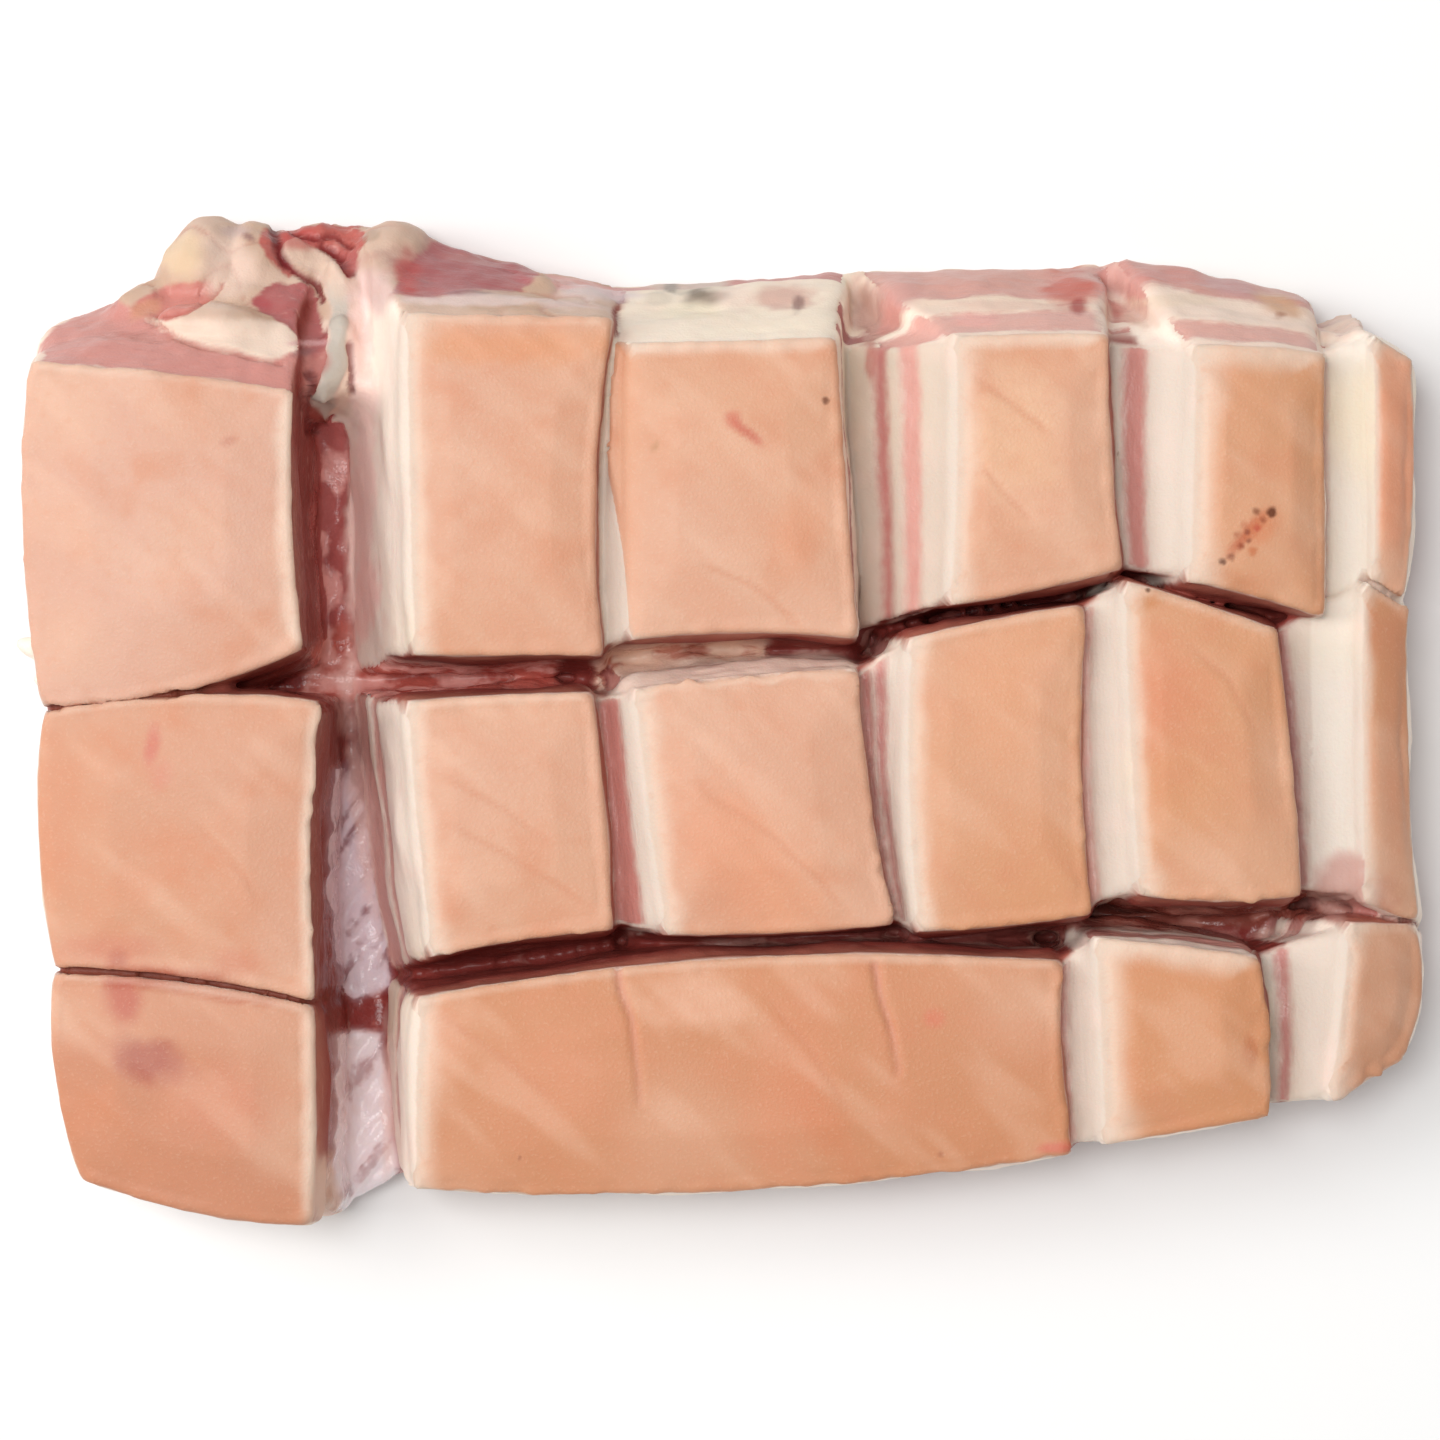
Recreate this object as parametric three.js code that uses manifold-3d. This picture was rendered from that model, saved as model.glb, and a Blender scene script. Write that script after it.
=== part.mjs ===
// A slab of raw pork belly, lying rind up. It is cut through the rind, fat and lean into three
// rows of blocks, which stay joined by an uncut layer of meat along the underside.
// Millimetres: +X runs along the slab, +Y to its far edge and +Z up. The slab rests on z = 0.

import * as THREE from "three";
import { mergeVertices } from "three/addons/utils/BufferGeometryUtils.js";
import Module from "manifold-3d";

// Heights of the slab, of the layer under the cuts, and of the dome in each block's rind.
const slabHeight = 50;
const uncutHeight = 13;
const domeHeight = 1.4;

// The rind droops towards three sides of the slab. start is how far from the middle the fall
// begins, and over reach the rind falls by fall.
const rightDroop = { start: 100, reach: 40, fall: 13 };
const leftDroop = { start: 100, reach: 40, fall: 3 };
const nearDroop = { start: 60, reach: 40, fall: 3 };

// Rounded edges, and the height of the hand-cut waves in the walls and floors.
const rindEdge = 2.6;
const cornerRadius = 2.6;
const undersideEdge = 2.5;
const floorEdge = 1.5;
const waveHeight = 0.5;

// The blocks are rooted in the uncut layer, whose side stands a little outside their feet.
const rootHeight = 6;
const footMargin = 0.4;

// How far the floor of a narrow cut runs on into the blocks at its low and its high side, and how
// far its ends stand back from the ends of the cut.
const slopeReach = { low: 3.5, high: 1.2 };
const slopeSetback = 1.2;

// Facets: the spacing of points along a block's side, and the rings of the rind and the floor as
// shares of the way out from the middle.
const sideSpacing = 14;
const fewestSteps = 3;
const rindRing = 0.5;
const floorRings = [0.97, 0.7, 0.4];

// The layers of a wall, from the cut floor (0) to the rind (1): how far each one stands out.
const wallLayers = [
  { at: 0.28, out: 0.9 },
  { at: 0.5, out: -0.5 },
  { at: 0.76, out: 0.7 },
];

// Each block's rind has four corners: far left, far right, near right and near left. flare is how
// far the foot of each wall stands out beyond the rind, with two values where the wall twists,
// and bow is how far each side of the rind bulges out, or in where it is negative.
const farRow = [
  {
    rind: [[-139, 72], [-85.5, 66], [-83.5, 14.5], [-136.5, 2.5]],
    flare: { far: [9, 36], right: 2, near: 2, left: [0.5, 0.5] },
    bow: { far: 0.8, right: -1.4, near: 3.2, left: 2.6 },
  },
  {
    rind: [[-64, 81.5], [-21.5, 80.5], [-23.5, 13], [-62.5, 13]],
    flare: { far: [22, 8.5], right: 1, near: 3, left: [13.5, 12.5] },
    bow: { far: 0, right: -2.4, near: 0, left: 0.5 },
  },
  {
    rind: [[-19.5, 75.5], [23, 76.5], [27.5, 16.5], [-19, 16]],
    flare: { far: [14, 16], right: 3, near: 3, left: [6, 6] },
    bow: { far: 0, right: 0, near: -1.4, left: 0.5 },
  },
  {
    rind: [[46, 77], [78, 77.5], [80.5, 30.5], [45, 23]],
    flare: { far: [16, 16.5], right: 1, near: 2, left: [16.5, 15] },
    bow: { far: 0, right: -1, near: 0.6, left: -0.5 },
  },
  {
    rind: [[94, 75], [121.5, 73.5], [121.5, 20.5], [93, 28]],
    flare: { far: [21, 14.5], right: 1, near: 2, left: [12.5, 9.5] },
    bow: { far: 0.6, right: 0, near: -0.8, left: 0 },
  },
  {
    rind: [[131, 78.5], [140, 73], [138.5, 24], [131, 29]],
    flare: { far: [1.5, 1.5], right: 1.5, near: 2.5, left: [12, 12] },
    bow: { far: 0, right: 1.6, near: 0, left: 0 },
  },
];
const middleRow = [
  {
    rind: [[-136, 2], [-80, 3.5], [-81, -56.5], [-133.5, -50]],
    flare: { far: [1, 1], right: 3, near: 1, left: [1.5, 1.5] },
    bow: { far: 2.4, right: -1.4, near: -1.8, left: 2.2 },
  },
  {
    rind: [[-64, 3.5], [-25.5, 5.5], [-21.5, -42], [-59, -47.5]],
    flare: { far: [3, 3], right: 1, near: 5, left: [12.5, 9] },
    bow: { far: 0.4, right: 0.4, near: -0.6, left: 0.6 },
  },
  {
    rind: [[-18.5, 6], [27.5, 10], [35, -41], [-12, -43]],
    flare: { far: [8, 5], right: 1, near: 3, left: [7, 10] },
    bow: { far: 0.8, right: -1.2, near: 0.6, left: 0.6 },
  },
  {
    rind: [[37, 16], [73, 23], [74.5, -39], [38.5, -42.5]],
    flare: { far: [1, 1], right: 1, near: 4, left: [6.5, 1] },
    bow: { far: 0.6, right: -1.4, near: 0.5, left: 1.5 },
  },
  {
    rind: [[80, 28], [111.5, 18], [116.5, -35], [83, -35]],
    flare: { far: [2.5, 3], right: 2, near: 4, left: [5, 5] },
    bow: { far: 0.5, right: 0.8, near: 1.4, left: 0.8 },
  },
  {
    rind: [[129, 28.6], [139.5, 23], [142, -41], [129, -36]],
    flare: { far: [1, 1], right: 1.5, near: 4, left: [12, 10] },
    bow: { far: 0, right: -1, near: 0.4, left: 0.8 },
  },
];
const nearRow = [
  {
    rind: [[-134, -50.5], [-81.5, -57.5], [-82, -101.5], [-128.5, -92]],
    flare: { far: [1, 1], right: 4.5, near: 1, left: [0.5, 0.5] },
    bow: { far: 1.4, right: 0.6, near: 2.2, left: 2.5 },
  },
  {
    rind: [[-61.5, -56], [68.5, -48.5], [70.5, -87], [-62.5, -94]],
    flare: { far: [3, 3], right: 1, near: 0.5, left: [7, 4] },
    bow: { far: 4.5, right: -1, near: 3.8, left: 0.6 },
  },
  {
    rind: [[74, -43.5], [107.5, -47.5], [109.5, -79.5], [76, -85.5]],
    flare: { far: [3, 3], right: 1, near: 1, left: [4, 3] },
    bow: { far: 0.4, right: 1.2, near: 0, left: 0 },
  },
  {
    rind: [[125.5, -41], [141, -41.5], [138, -68.5], [121.5, -77]],
    flare: { far: [1, 1], right: 1.5, near: 1, left: [12.5, 9] },
    bow: { far: 0, right: 3, near: 0.5, left: 0 },
  },
];

// The narrow cuts between neighbours in a row. The floor of each one is a slope, which climbs from
// a depth below the rind of the block on its left to the edge of the rind on its right.
const narrowCuts = [
  { left: farRow[1], right: farRow[2], depth: 6.5 },
  { left: farRow[2], right: farRow[3], depth: 19 },
  { left: farRow[3], right: farRow[4], depth: 11 },
  { left: farRow[4], right: farRow[5], depth: 10 },
  { left: middleRow[1], right: middleRow[2], depth: 9 },
  { left: middleRow[2], right: middleRow[3], depth: 8 },
  { left: middleRow[3], right: middleRow[4], depth: 7 },
  { left: middleRow[4], right: middleRow[5], depth: 12 },
  { left: nearRow[1], right: nearRow[2], depth: 7 },
  { left: nearRow[2], right: nearRow[3], depth: 13 },
];

// The meat of the loose flap lies across the far end of the widest cut. Its top's corners are far
// left, near left, near right and far right, and its near end slants by footing to the floor.
const flapBridge = {
  top: [[-92, 94.5, 16], [-92, 68, 39], [-68, 67, 31], [-68, 94.5, 19]],
  footing: 6,
};

// Shallow scores in the rind of the wide near block, which fade out short of its near side.
const scoreWidth = 2.2;
const scoreFade = 0.3;
const scoreTop = slabHeight + 5;
const scores = [
  { start: [-20.5, -45], end: [-15.5, -80], depth: 7 },
  { start: [31, -46], end: [36.5, -76], depth: 6 },
];

// Lobes of loose fat and rags of meat along the far left edge and the left side.
const lobes = [
  { at: [-107, 89.5, 12.5], size: [10.5, 15, 12], turn: -12 },
  { at: [-95, 90, 12], size: [13, 13.5, 11.5], turn: -8 },
  { at: [-83, 96, 8.5], size: [11, 8, 8], turn: 0 },
  { at: [-121, 83, 13], size: [13, 6, 12.5], turn: 32 },
  { at: [-101, 79.5, 31], size: [15, 5, 6.5], turn: -10 },
  { at: [-69.5, 91.5, 12.5], size: [11, 12, 12], turn: -20 },
  { at: [-78.2, 88, 21], size: [3.4, 7.5, 4.6], turn: 6 },
  { at: [-77.6, 77, 28.5], size: [3.2, 8, 4.6], turn: -3 },
  { at: [-79.8, 67.5, 33], size: [3, 6.5, 4.6], turn: -16 },
  { at: [-138.5, 14, 32], size: [5, 1.8, 3.5], turn: -25 },
  { at: [-137.5, 8.5, 27], size: [3.2, 2, 4.5], turn: 12 },
];

const wasm = await Module();
wasm.setup();

// How far the rind has fallen at a distance from the middle of the slab.
function droopAt(distance, { start, reach, fall }) {
  const share = Math.max(0, (distance - start) / reach);
  return fall * share * share;
}

function rindHeight(x, y) {
  const droop = droopAt(x, rightDroop) + droopAt(-x, leftDroop) + droopAt(-y, nearDroop);
  return slabHeight - domeHeight - droop;
}

// The hand-cut unevenness of the walls and the floors of the cuts.
function uneven(x, y, z) {
  const lengthways = Math.sin(0.21 * x + 0.13 * z);
  const crossways = Math.sin(0.17 * y - 0.19 * z + 0.05 * x);
  return waveHeight * (lengthways + crossways);
}

function middleOf(outline) {
  const middle = new THREE.Vector2();
  outline.forEach((point) => middle.add(point));
  return middle.divideScalar(outline.length);
}

// Moves an outline's points towards its middle by a distance.
function shrink(outline, distance) {
  const middle = middleOf(outline);
  return outline.map((point) => {
    const inward = middle.clone().sub(point);
    return point.clone().addScaledVector(inward.normalize(), distance);
  });
}

// An outline laid level at a height.
function level(outline, z) {
  return outline.map(({ x, y }) => new THREE.Vector3(x, y, z));
}

// An outline laid at a depth below the rind.
function underRind(outline, depth) {
  return outline.map(({ x, y }) => new THREE.Vector3(x, y, rindHeight(x, y) - depth));
}

// A closed outline round four corners, given anticlockwise, with bowed sides and rounded corners.
// It comes as one list of points for each side, which starts in the middle of the corner.
function patchSides(corners, bows, stepCounts) {
  return corners.map((corner, i) => {
    const along = corners[(i + 1) % 4].clone().sub(corner);
    const length = along.length();
    along.normalize();
    const back = corners[(i + 3) % 4].clone().sub(corner).normalize();
    const outward = new THREE.Vector2(along.y, -along.x);
    const cut = cornerRadius * (1 - Math.SQRT1_2);
    const side = [corner.clone().addScaledVector(along, cut).addScaledVector(back, cut)];
    for (let step = 0; step <= stepCounts[i]; step++) {
      const run = (length - 2 * cornerRadius) * (step / stepCounts[i]) + cornerRadius;
      const share = run / length;
      const bulge = 4 * bows[i] * share * (1 - share);
      side.push(corner.clone().addScaledVector(along, run).addScaledVector(outward, bulge));
    }
    return side;
  });
}

// Joins rings of equal length, from the lowest to the highest, into one closed body.
function loft(rings) {
  const count = rings[0].length;
  const positions = [];
  rings.forEach((ring) => ring.forEach((point) => positions.push(point.x, point.y, point.z)));
  const caps = [rings[0], rings[rings.length - 1]];
  caps.forEach((ring) => {
    const centre = new THREE.Vector3();
    ring.forEach((point) => centre.add(point));
    centre.divideScalar(count);
    positions.push(centre.x, centre.y, centre.z);
  });
  const bottomCentre = rings.length * count;
  const topCentre = bottomCentre + 1;
  const lastRing = bottomCentre - count;
  const faces = [];
  for (let i = 0; i < count; i++) {
    const next = (i + 1) % count;
    for (let ring = 0; ring < rings.length - 1; ring++) {
      const low = ring * count;
      const high = low + count;
      faces.push(low + i, low + next, high + next);
      faces.push(low + i, high + next, high + i);
    }
    faces.push(bottomCentre, next, i);
    faces.push(topCentre, lastRing + i, lastRing + next);
  }
  const geometry = new THREE.BufferGeometry();
  geometry.setAttribute("position", new THREE.Float32BufferAttribute(positions, 3));
  geometry.setIndex(faces);
  return geometry;
}

function solidFrom(geometry) {
  geometry.deleteAttribute("normal");
  geometry.deleteAttribute("uv");
  const merged = mergeVertices(geometry);
  const vertProperties = new Float32Array(merged.attributes.position.array);
  const triVerts = new Uint32Array(merged.index.array);
  return new wasm.Manifold(new wasm.Mesh({ numProp: 3, vertProperties, triVerts }));
}

// The sides of a block's rind and of its foot: left, near, right and far.
function blockSides({ rind, flare, bow }) {
  const [farLeft, farRight, nearRight, nearLeft] = rind.map(([x, y]) => new THREE.Vector2(x, y));
  const rindCorners = [farLeft, nearLeft, nearRight, farRight];
  const flares = [
    new THREE.Vector2(-flare.left[0], flare.far[0]),
    new THREE.Vector2(-flare.left[1], -flare.near),
    new THREE.Vector2(flare.right, -flare.near),
    new THREE.Vector2(flare.right, flare.far[1]),
  ];
  const footCorners = rindCorners.map((corner, i) => corner.clone().add(flares[i]));
  const bows = [bow.left, bow.near, bow.right, bow.far];
  const stepCounts = rindCorners.map((corner, i) => {
    const length = corner.distanceTo(rindCorners[(i + 1) % 4]);
    return Math.max(fewestSteps, Math.round(length / sideSpacing));
  });
  return {
    rindSides: patchSides(rindCorners, bows, stepCounts),
    footSides: patchSides(footCorners, bows, stepCounts),
  };
}

// A ring of the domed rind, at a share of the way from the middle of the block to its edge.
function domeRing(outline, share) {
  const middle = middleOf(outline);
  return outline.map((point) => {
    const { x, y } = middle.clone().lerp(point, share);
    return new THREE.Vector3(x, y, rindHeight(x, y) + domeHeight * (1 - share * share));
  });
}

// One block, from its root in the uncut layer up to its rind.
function block(shape) {
  const { rindSides, footSides } = blockSides(shape);
  const rind = rindSides.flat();
  const foot = footSides.flat();
  const wallRing = ({ at, out }) => {
    const ring = foot.map((point, i) => point.clone().lerp(rind[i], at));
    return shrink(ring, -out).map(({ x, y }) => {
      const z = THREE.MathUtils.lerp(uncutHeight, rindHeight(x, y) - rindEdge, at);
      return new THREE.Vector3(x + uneven(x, y, z), y + uneven(y, x, z), z);
    });
  };
  return loft([
    level(foot, rootHeight),
    level(foot, uncutHeight),
    ...wallLayers.map(wallRing),
    underRind(rind, rindEdge),
    underRind(shrink(rind, 0.3 * rindEdge), 0.3 * rindEdge),
    underRind(shrink(rind, rindEdge), 0),
    domeRing(rind, rindRing),
  ]);
}

// The floor of a narrow cut, from its root in the uncut layer.
function slope({ left, right, depth }) {
  const section = (lowCorner, highCorner, flare, setback) => {
    const [low, high] = [lowCorner, highCorner].map(([x, y]) => new THREE.Vector3(x, y, 0));
    low.z = rindHeight(low.x, low.y) - depth;
    high.z = rindHeight(high.x, high.y) - rindEdge;
    const climb = (high.z - low.z) / Math.hypot(high.x - low.x, high.y - low.y);
    const drawnOut = (point, reach) =>
      new THREE.Vector3(point.x + reach, point.y + setback, point.z + reach * climb);
    const top = [drawnOut(low, -slopeReach.low), drawnOut(high, slopeReach.high)];
    const root = top.map(({ x, y }) => new THREE.Vector3(x, y + flare, rootHeight));
    return { top, root };
  };
  const farFlare = (left.flare.far[1] + right.flare.far[0]) / 2;
  const nearFlare = (left.flare.near + right.flare.near) / 2;
  const far = section(left.rind[1], right.rind[0], farFlare, -slopeSetback);
  const near = section(left.rind[2], right.rind[3], -nearFlare, slopeSetback);
  return loft(
    ["root", "top"].map((ring) => [far[ring][0], near[ring][0], near[ring][1], far[ring][1]]),
  );
}

// The flap's meat across the widest cut, from its root in the uncut layer.
function bridge({ top, footing }) {
  const ring = top.map((corner) => new THREE.Vector3(...corner));
  const root = ring.map(({ x, y }, i) => {
    const isNear = i === 1 || i === 2;
    return new THREE.Vector3(x, isNear ? y - footing : y, rootHeight);
  });
  return loft([root, ring]);
}

// The uncut layer, whose outline follows the feet of the outer blocks.
function uncutLayer() {
  const [left, near, right, far] = [0, 1, 2, 3];
  const footSide = (shape, side) => blockSides(shape).footSides[side];
  const rows = [farRow, middleRow, nearRow];
  const lastBlocks = rows.map((row) => row[row.length - 1]).reverse();
  const feet = [
    ...rows.flatMap((row) => footSide(row[0], left)),
    ...nearRow.flatMap((shape) => footSide(shape, near)),
    ...lastBlocks.flatMap((shape) => footSide(shape, right)),
    ...[...farRow].reverse().flatMap((shape) => footSide(shape, far)),
  ];
  const outline = shrink(feet, -footMargin);
  const floorRing = (share) => {
    const ring = outline.map((point) => point.clone().multiplyScalar(share));
    return ring.map(({ x, y }) => new THREE.Vector3(x, y, uncutHeight + uneven(x, y, 0)));
  };
  return loft([
    level(shrink(outline, undersideEdge), 0),
    level(outline, undersideEdge),
    level(outline, uncutHeight - floorEdge),
    ...floorRings.map(floorRing),
  ]);
}

// A soft lobe, turned in degrees about its upright axis.
function lobe({ at, size, turn }) {
  const geometry = new THREE.SphereGeometry(1, 12, 8);
  geometry.scale(...size);
  geometry.rotateZ(THREE.MathUtils.degToRad(turn));
  geometry.translate(...at);
  return geometry;
}

// The wedge of air that a score leaves, deepest where it starts.
function scoreWedge({ start, end, depth }) {
  const from = new THREE.Vector2(...start);
  const to = new THREE.Vector2(...end);
  const across = to.clone().sub(from).normalize();
  const half = new THREE.Vector2(-across.y, across.x).multiplyScalar(scoreWidth / 2);
  const section = (point, reach) => {
    const edge = rindHeight(point.x, point.y) + domeHeight;
    return [
      new THREE.Vector3(point.x, point.y, edge - reach),
      new THREE.Vector3(point.x + half.x, point.y + half.y, scoreTop),
      new THREE.Vector3(point.x - half.x, point.y - half.y, scoreTop),
    ];
  };
  return loft([section(from, depth), section(to, scoreFade * depth)]);
}

// The whole slab: blocks, slopes, the flap's bridge and lobes joined to the uncut layer, with the
// scores cut out.
function slabGeometry() {
  const blocks = [...farRow, ...middleRow, ...nearRow].map(block);
  const fillings = [...narrowCuts.map(slope), bridge(flapBridge), ...lobes.map(lobe)];
  const pieces = [...blocks, ...fillings].map(solidFrom);
  const wedges = scores.map(scoreWedge).map(solidFrom);
  const whole = pieces.reduce((solid, piece) => solid.add(piece), solidFrom(uncutLayer()));
  const solid = wedges.reduce((left, wedge) => left.subtract(wedge), whole);
  const { vertProperties, triVerts } = solid.getMesh();
  const geometry = new THREE.BufferGeometry();
  geometry.setAttribute("position", new THREE.BufferAttribute(vertProperties, 3));
  geometry.setIndex(new THREE.BufferAttribute(triVerts, 1));
  return geometry;
}

const belly = new THREE.Mesh(
  slabGeometry(),
  new THREE.MeshStandardMaterial({ color: 0xe8b496, roughness: 0.5, metalness: 0 }),
);
belly.name = "pork_belly";

// The frame's origin is under the middle of the slab's box.
belly.geometry.computeBoundingBox();
const box = belly.geometry.boundingBox;
belly.position.set(-(box.min.x + box.max.x) / 2, -(box.min.y + box.max.y) / 2, -box.min.z);

const slab = new THREE.Group();
slab.add(belly);

export default slab;
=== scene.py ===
import math
from collections import namedtuple
from types import SimpleNamespace
import bpy
import numpy as np
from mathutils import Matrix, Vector


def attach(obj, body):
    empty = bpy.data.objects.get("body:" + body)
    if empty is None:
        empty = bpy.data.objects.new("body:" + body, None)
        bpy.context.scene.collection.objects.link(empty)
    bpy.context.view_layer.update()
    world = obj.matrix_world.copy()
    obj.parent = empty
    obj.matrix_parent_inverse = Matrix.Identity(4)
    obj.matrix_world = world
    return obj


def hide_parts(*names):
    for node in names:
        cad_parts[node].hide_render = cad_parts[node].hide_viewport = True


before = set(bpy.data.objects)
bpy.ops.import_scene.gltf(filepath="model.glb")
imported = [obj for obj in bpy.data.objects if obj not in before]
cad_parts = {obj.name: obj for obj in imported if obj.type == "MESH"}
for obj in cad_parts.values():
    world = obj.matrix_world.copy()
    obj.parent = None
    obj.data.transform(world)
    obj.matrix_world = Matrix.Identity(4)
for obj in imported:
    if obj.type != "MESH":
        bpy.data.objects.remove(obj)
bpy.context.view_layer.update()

# ------------ the slab's named sizes, in mm
# They are the ones that the CAD part is made from, in the part's own design coordinates.
CENTRE = np.array([1.27, 0.72, 0.0])
SLAB = 50.0
UNCUT = 13.0
DOME = 1.4
RIND_EDGE = 2.6
DROOPS = {"right": (100, 40, 13), "left": (100, 40, 3), "near": (60, 40, 3)}
WALL_OUT = ([0, 0.28, 0.5, 0.76, 1], [0, 0.9, -0.5, 0.7, 0])
SLOPE_SETBACK = 1.2
# The scene's own: the size of the skin's faces, how square the rind's edges are (2 is round), how
# far below the rind they are drawn out, where the walls begin, and how far lean is from pure fat.
VOXEL = 0.8
CRISPNESS = 7
EDGE_DEPTH = 5.5
WALL_DEPTH = 7
DEEP_FAT = 6.0
MM_PER_M = 1000
# The photograph's frame of 1440 by 1440, seen straight from above.
CAMERA_HEIGHT = 1050.0
PHOTO_SCALE = 5000.0
PHOTO_MIDDLE = 720.0
PIXELS_PER_MM = 5

LEFT, NEAR, RIGHT, FAR = WALLS = range(4)

# A block: its rind's corners (far left, far right, near right, near left), how far the foot of
# each wall stands out, how far each side bows (far, right, near, left), and some walls' layers.
Block = namedtuple("Block", "rind far right near left bow layers")

# Sheets of lean that run through the whole slab, with fat between them: the middle and the half
# thickness as shares of the way from the rind to the table, how far each of them wanders, and the
# redness and purple tone.
SHEETS = [
    (0.35, 0.028, 0.05, 0.030, 0.25, 0.05),
    (0.53, 0.065, 0.04, 0.045, 0.55, 0.15),
    (0.63, 0.020, 0.05, 0.030, 0.35, 0.10),
    (0.77, 0.060, 0.04, 0.045, 0.75, 0.20),
    (1.00, 0.085, 0.03, 0.040, 0.50, 0.25),
]
# Where a wall's layers are seen in the photograph they are given as lean bands, (start, end,
# redness, purple), with start and end as the same shares. What no band covers is fat.
BLOCKS = [Block(*row) for row in [
    ([(-139, 72), (-85.5, 66), (-83.5, 14.5), (-136.5, 2.5)], (9, 36), 2, 2, (0.5, 0.5),
     (0.8, -1.4, 3.2, 2.6), {RIGHT: [(0.05, 1.1, 0.7, 0.3)]}),
    ([(-64, 81.5), (-21.5, 80.5), (-23.5, 13), (-62.5, 13)], (22, 8.5), 1, 3, (13.5, 12.5),
     (0, -2.4, 0, 0.5), {LEFT: [(0.8, 1.1, 0.0, 0.2)]}),
    ([(-19.5, 75.5), (23, 76.5), (27.5, 16.5), (-19, 16)], (14, 16), 3, 3, (6, 6),
     (0, 0, -1.4, 0.5),
     {LEFT: [(0.62, 0.8, 0.3, 0.2)],
      FAR: [(0.66, 0.9, 0.5, 0.3)], RIGHT: [(0.2, 0.27, 0.2, 0.5), (0.42, 0.5, 0.4, 0.6)]}),
    ([(46, 77), (78, 77.5), (80.5, 30.5), (45, 23)], (16, 16.5), 1, 2, (16.5, 15),
     (0, -1, 0.6, -0.5),
     {LEFT: [(0.17, 0.37, 0.1, 0.02), (0.43, 0.63, 0.3, 0.1)],
      FAR: [(0.12, 0.3, 0.0, 0.0), (0.45, 0.85, 0.12, 0.15)]}),
    ([(94, 75), (121.5, 73.5), (121.5, 20.5), (93, 28)], (21, 14.5), 1, 2, (12.5, 9.5),
     (0.6, 0, -0.8, 0),
     {LEFT: [(0.44, 0.62, 0.2, 0.1)],
      FAR: [(0.12, 0.25, 0.0, 0.0), (0.5, 0.9, 0.3, 0.2)]}),
    ([(131, 78.5), (140, 73), (138.5, 24), (131, 29)], (1.5, 1.5), 1.5, 2.5, (12, 12),
     (0, 1.6, 0, 0), {LEFT: [(0.62, 0.8, 0.2, 0.1)]}),
    ([(-136, 2), (-80, 3.5), (-81, -56.5), (-133.5, -50)], (1, 1), 3, 1, (1.5, 1.5),
     (2.4, -1.4, -1.8, 2.2), {RIGHT: [(0.05, 1.1, 0.7, 0.3)]}),
    ([(-64, 3.5), (-25.5, 5.5), (-21.5, -42), (-59, -47.5)], (3, 3), 1, 5, (12.5, 9),
     (0.4, 0.4, -0.6, 0.6), {LEFT: [(0.42, 0.5, 0.0, 0.12), (0.57, 0.72, 0.0, 0.2)]}),
    ([(-18.5, 6), (27.5, 10), (35, -41), (-12, -43)], (8, 5), 1, 3, (7, 10), (0.8, -1.2, 0.6, 0.6),
     {LEFT: [(0.4, 0.7, 0.4, 0.1)]}),
    ([(37, 16), (73, 23), (74.5, -39), (38.5, -42.5)], (1, 1), 1, 4, (6.5, 1),
     (0.6, -1.4, 0.5, 1.5), {LEFT: [(0.34, 0.7, 0.45, 0.2)]}),
    ([(80, 28), (111.5, 18), (116.5, -35), (83, -35)], (2.5, 3), 2, 4, (5, 5), (0.5, 0.8, 1.4, 0.8),
     {LEFT: [(0.55, 0.72, 0.3, 0.1)]}),
    ([(129, 28.6), (139.5, 23), (142, -41), (129, -36)], (1, 1), 1.5, 4, (12, 10),
     (0, -1, 0.4, 0.8), {LEFT: [(0.5, 0.8, 0.5, 0.1)], NEAR: [(0.16, 0.8, 0.4, 0.2)]}),
    ([(-134, -50.5), (-81.5, -57.5), (-82, -101.5), (-128.5, -92)], (1, 1), 4.5, 1, (0.5, 0.5),
     (1.4, 0.6, 2.2, 2.5), {RIGHT: [(0.25, 1.1, 0.5, 0.5)]}),
    ([(-61.5, -56), (68.5, -48.5), (70.5, -87), (-62.5, -94)], (3, 3), 1, 0.5, (7, 4),
     (4.5, -1, 3.8, 0.6), {LEFT: [(0.42, 0.58, 0.0, 0.1)]}),
    ([(74, -43.5), (107.5, -47.5), (109.5, -79.5), (76, -85.5)], (3, 3), 1, 1, (4, 3),
     (0.4, 1.2, 0, 0),
     {LEFT: [(0.5, 0.7, 0.3, 0.1)],
      FAR: [(0.15, 0.3, 0.2, 0.1), (0.5, 0.8, 0.5, 0.2)]}),
    ([(125.5, -41), (141, -41.5), (138, -68.5), (121.5, -77)], (1, 1), 1.5, 1, (12.5, 9),
     (0, 3, 0.5, 0), {LEFT: [(0.43, 0.56, 0.3, 0.2), (0.66, 0.8, 0.3, 0.4)]}),
]]
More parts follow.
